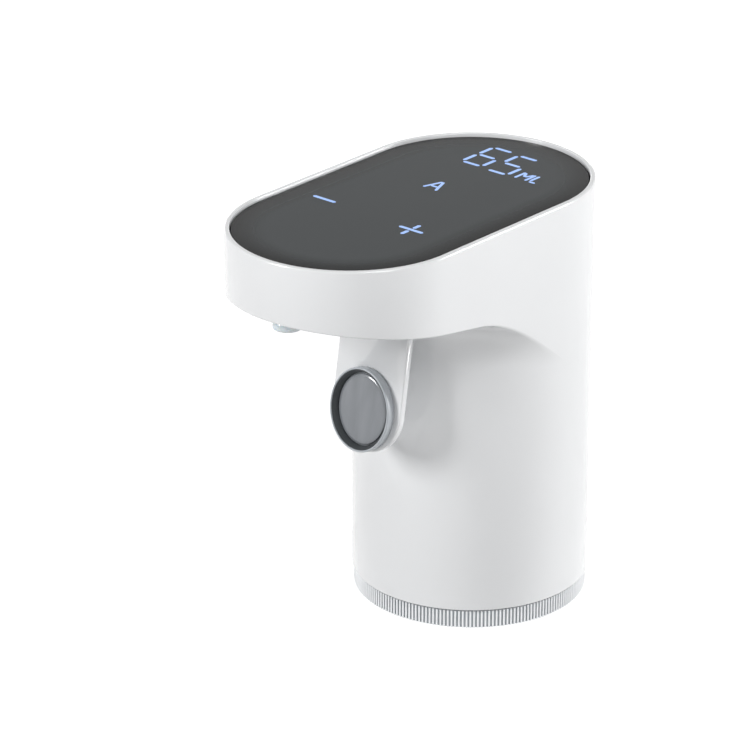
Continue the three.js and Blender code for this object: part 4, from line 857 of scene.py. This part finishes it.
def ring():
    """The ring's band, with the CAD ring's inner side, and its ribs."""
    radius = RING_RADIUS - RIB_DEPTH
    foot_inset, foot_rise = RING_CORE_FOOT
    top_inset, top_fall = RING_CORE_TOP
    core = [(radius - foot_inset, 0.0), (radius, foot_rise), (radius, RING_HEIGHT - top_fall),
            (radius - top_inset, RING_HEIGHT)]
    band = swept("ring_core", circle_at, core)
    carve(band, swept("bore", circle_at, [(RING_BORE, -CLEAR), (RING_BORE, RING_HEIGHT + CLEAR)]))
    kept = swept("keep", circle_at, [(RING_KEEP_RADIUS, -CLEAR), (RING_KEEP_RADIUS, RING_KEEP_TOP)])
    carve(band, carve(cad_copy("knurled_ring", "inner"), kept, "INTERSECT"), "UNION")
    # The band between the ribs takes the darkened metal: painted shade of the grooves
    dressed(band, groove_shade_aluminium, "base_ring", "knurled_metal", "knurled_ring")
    count = round(math.tau * RING_RADIUS / RIB_PITCH)
    ribs = grown("ring_ribs", rib_tree(), anodised_aluminium, count=count,
                 circle=(RING_RADIUS - RIB_WIDTH / 2) * MM, rib_radius=RIB_WIDTH / 2 * MM,
                 rib_height=(RING_HEIGHT - 2 * RIB_GAP) * MM, foot=(RING_HEIGHT / 2) * MM)
    dressed(ribs, anodised_aluminium, "base_ring", "knurled_metal", angle=50)


ring()


# Charging port

def port():
    """A thin round-ended shell with the contact blade standing in it."""
    shell = swept("port_shell", port_outline(PORT_HALF_WIDTH, PORT_HALF_HEIGHT), PORT_SHELL)
    carve(shell, swept("room", port_outline(PORT_HALF_WIDTH - PORT_WALL, PORT_HALF_HEIGHT - PORT_WALL),
                       PORT_ROOM))
    dressed(shell, turned_steel, "housing", "steel", "charge_socket", angle=40)
    blade = swept("port_blade", port_outline(BLADE_HALF_WIDTH, BLADE_HALF_HEIGHT), PORT_BLADE)
    dressed(blade, switch_nylon, "housing", "switch_black")


port()


# Stage: a pale floor, a white surround and five softboxes

# The floor, in millimetres
FLOOR_HALF = 4000.0
FLOOR_FOOT = -6.0
FLOOR_TOP = -0.01
FLOOR_GLOW = 0.78
WORLD_LEVEL = 0.08
# The lamps, in metres
LAMP_AIM = Vector((0, 0, 0.06))
LAMP_DISTANCE = 1.1
# Name, azimuth (0 in front of the nozzle, 90 on its right), elevation, width, height, watts
SOFTBOXES = [
    ("front_left_box", -25, 25, 0.3, 0.4, 7.0),
    ("rear_right_strip", 135, 10, 0.24, 0.5, 5.9),
    ("right_box", 70, 50, 0.4, 0.4, 3.9),
    ("right_strip", 75, 10, 0.24, 0.5, 1.1),
    ("rear_left_box", -130, 3, 1.0, 0.2, 2.6),
]


def seen_straight(tree):
    """One for rays from the camera, from a reflection or through glass, and zero for all others."""
    path = add(tree, "ShaderNodeLightPath")
    seen = path.outputs["Is Camera Ray"]
    for kind in ("Is Glossy Ray", "Is Transmission Ray"):
        either = add(tree, "ShaderNodeMath", links={0: seen, 1: path.outputs[kind]},
                     operation="MAXIMUM")
        seen = either.outputs[0]
    return seen


def floor():
    """It glows where it is seen straight, and so looks white however little light the lamps give."""
    made = block("floor", (-FLOOR_HALF, -FLOOR_HALF, FLOOR_FOOT), (FLOOR_HALF, FLOOR_HALF, FLOOR_TOP))
    paint = bpy.data.materials.new("pale_floor")
    paint.use_nodes = True
    tree = paint.node_tree
    tree.nodes.clear()
    cover = add(tree, "ShaderNodeBsdfDiffuse", {"Color": linear("c8c8c8")})
    level = add(tree, "ShaderNodeMath", {1: FLOOR_GLOW}, {0: seen_straight(tree)},
                operation="MULTIPLY")
    glow = add(tree, "ShaderNodeEmission", {"Color": linear("ffffff")},
               {"Strength": level.outputs[0]})
    both = add(tree, "ShaderNodeAddShader",
               links={0: cover.outputs["BSDF"], 1: glow.outputs["Emission"]})
    add(tree, "ShaderNodeOutputMaterial", links={"Surface": both.outputs["Shader"]})
    made.data.materials.append(paint)


def surround():
    """White where it is seen straight or in a reflection, and a weak cool light on the dispenser."""
    world = bpy.data.worlds.new("surround")
    scene.world = world
    world.use_nodes = True
    tree = world.node_tree
    tree.nodes.clear()
    soft = add(tree, "ShaderNodeBackground", {"Color": linear("f2f5fa"), "Strength": WORLD_LEVEL})
    white = add(tree, "ShaderNodeBackground", {"Color": linear("ffffff"), "Strength": 1.0})
    both = add(tree, "ShaderNodeMixShader",
               links={0: seen_straight(tree), 1: soft.outputs[0], 2: white.outputs[0]})
    add(tree, "ShaderNodeOutputWorld", links={"Surface": both.outputs[0]})


def looks_from(made, target, azimuth, elevation, distance):
    """Puts a lamp or the camera at a distance from its target and turns it there."""
    outward = Vector((math.sin(azimuth) * math.cos(elevation),
                      -math.cos(azimuth) * math.cos(elevation), math.sin(elevation)))
    made.location = target + outward * distance
    made.rotation_mode = "QUATERNION"
    made.rotation_quaternion = (-outward).to_track_quat("-Z", "Y")


def softbox(name, azimuth, elevation, width, height, watts):
    """A rectangular lamp that looks at the dispenser."""
    lamp = bpy.data.lights.new(name, "AREA")
    lamp.shape = "RECTANGLE"
    lamp.size = width
    lamp.size_y = height
    lamp.energy = watts
    made = bpy.data.objects.new(name, lamp)
    scene.collection.objects.link(made)
    looks_from(made, LAMP_AIM, math.radians(azimuth), math.radians(elevation), LAMP_DISTANCE)


floor()
surround()
for box in SOFTBOXES:
    softbox(*box)


# Camera at the photograph's view

CAMERA_AZIMUTH = math.radians(40.951)
CAMERA_ELEVATION = math.radians(23.416)
CAMERA_DISTANCE = 1.0334
CAMERA_TARGET = Vector((-0.01204, 0.0, 0.06024))
# Both in millimetres, as a camera has them
SENSOR_WIDTH = 36.0
LENS_LENGTH = 199.91
lens = bpy.data.cameras.new("view")
lens.sensor_width = SENSOR_WIDTH
lens.lens = LENS_LENGTH
camera = bpy.data.objects.new("view", lens)
scene.collection.objects.link(camera)
looks_from(camera, CAMERA_TARGET, CAMERA_AZIMUTH, CAMERA_ELEVATION, CAMERA_DISTANCE)
scene.camera = camera
scene.view_settings.view_transform = "Standard"
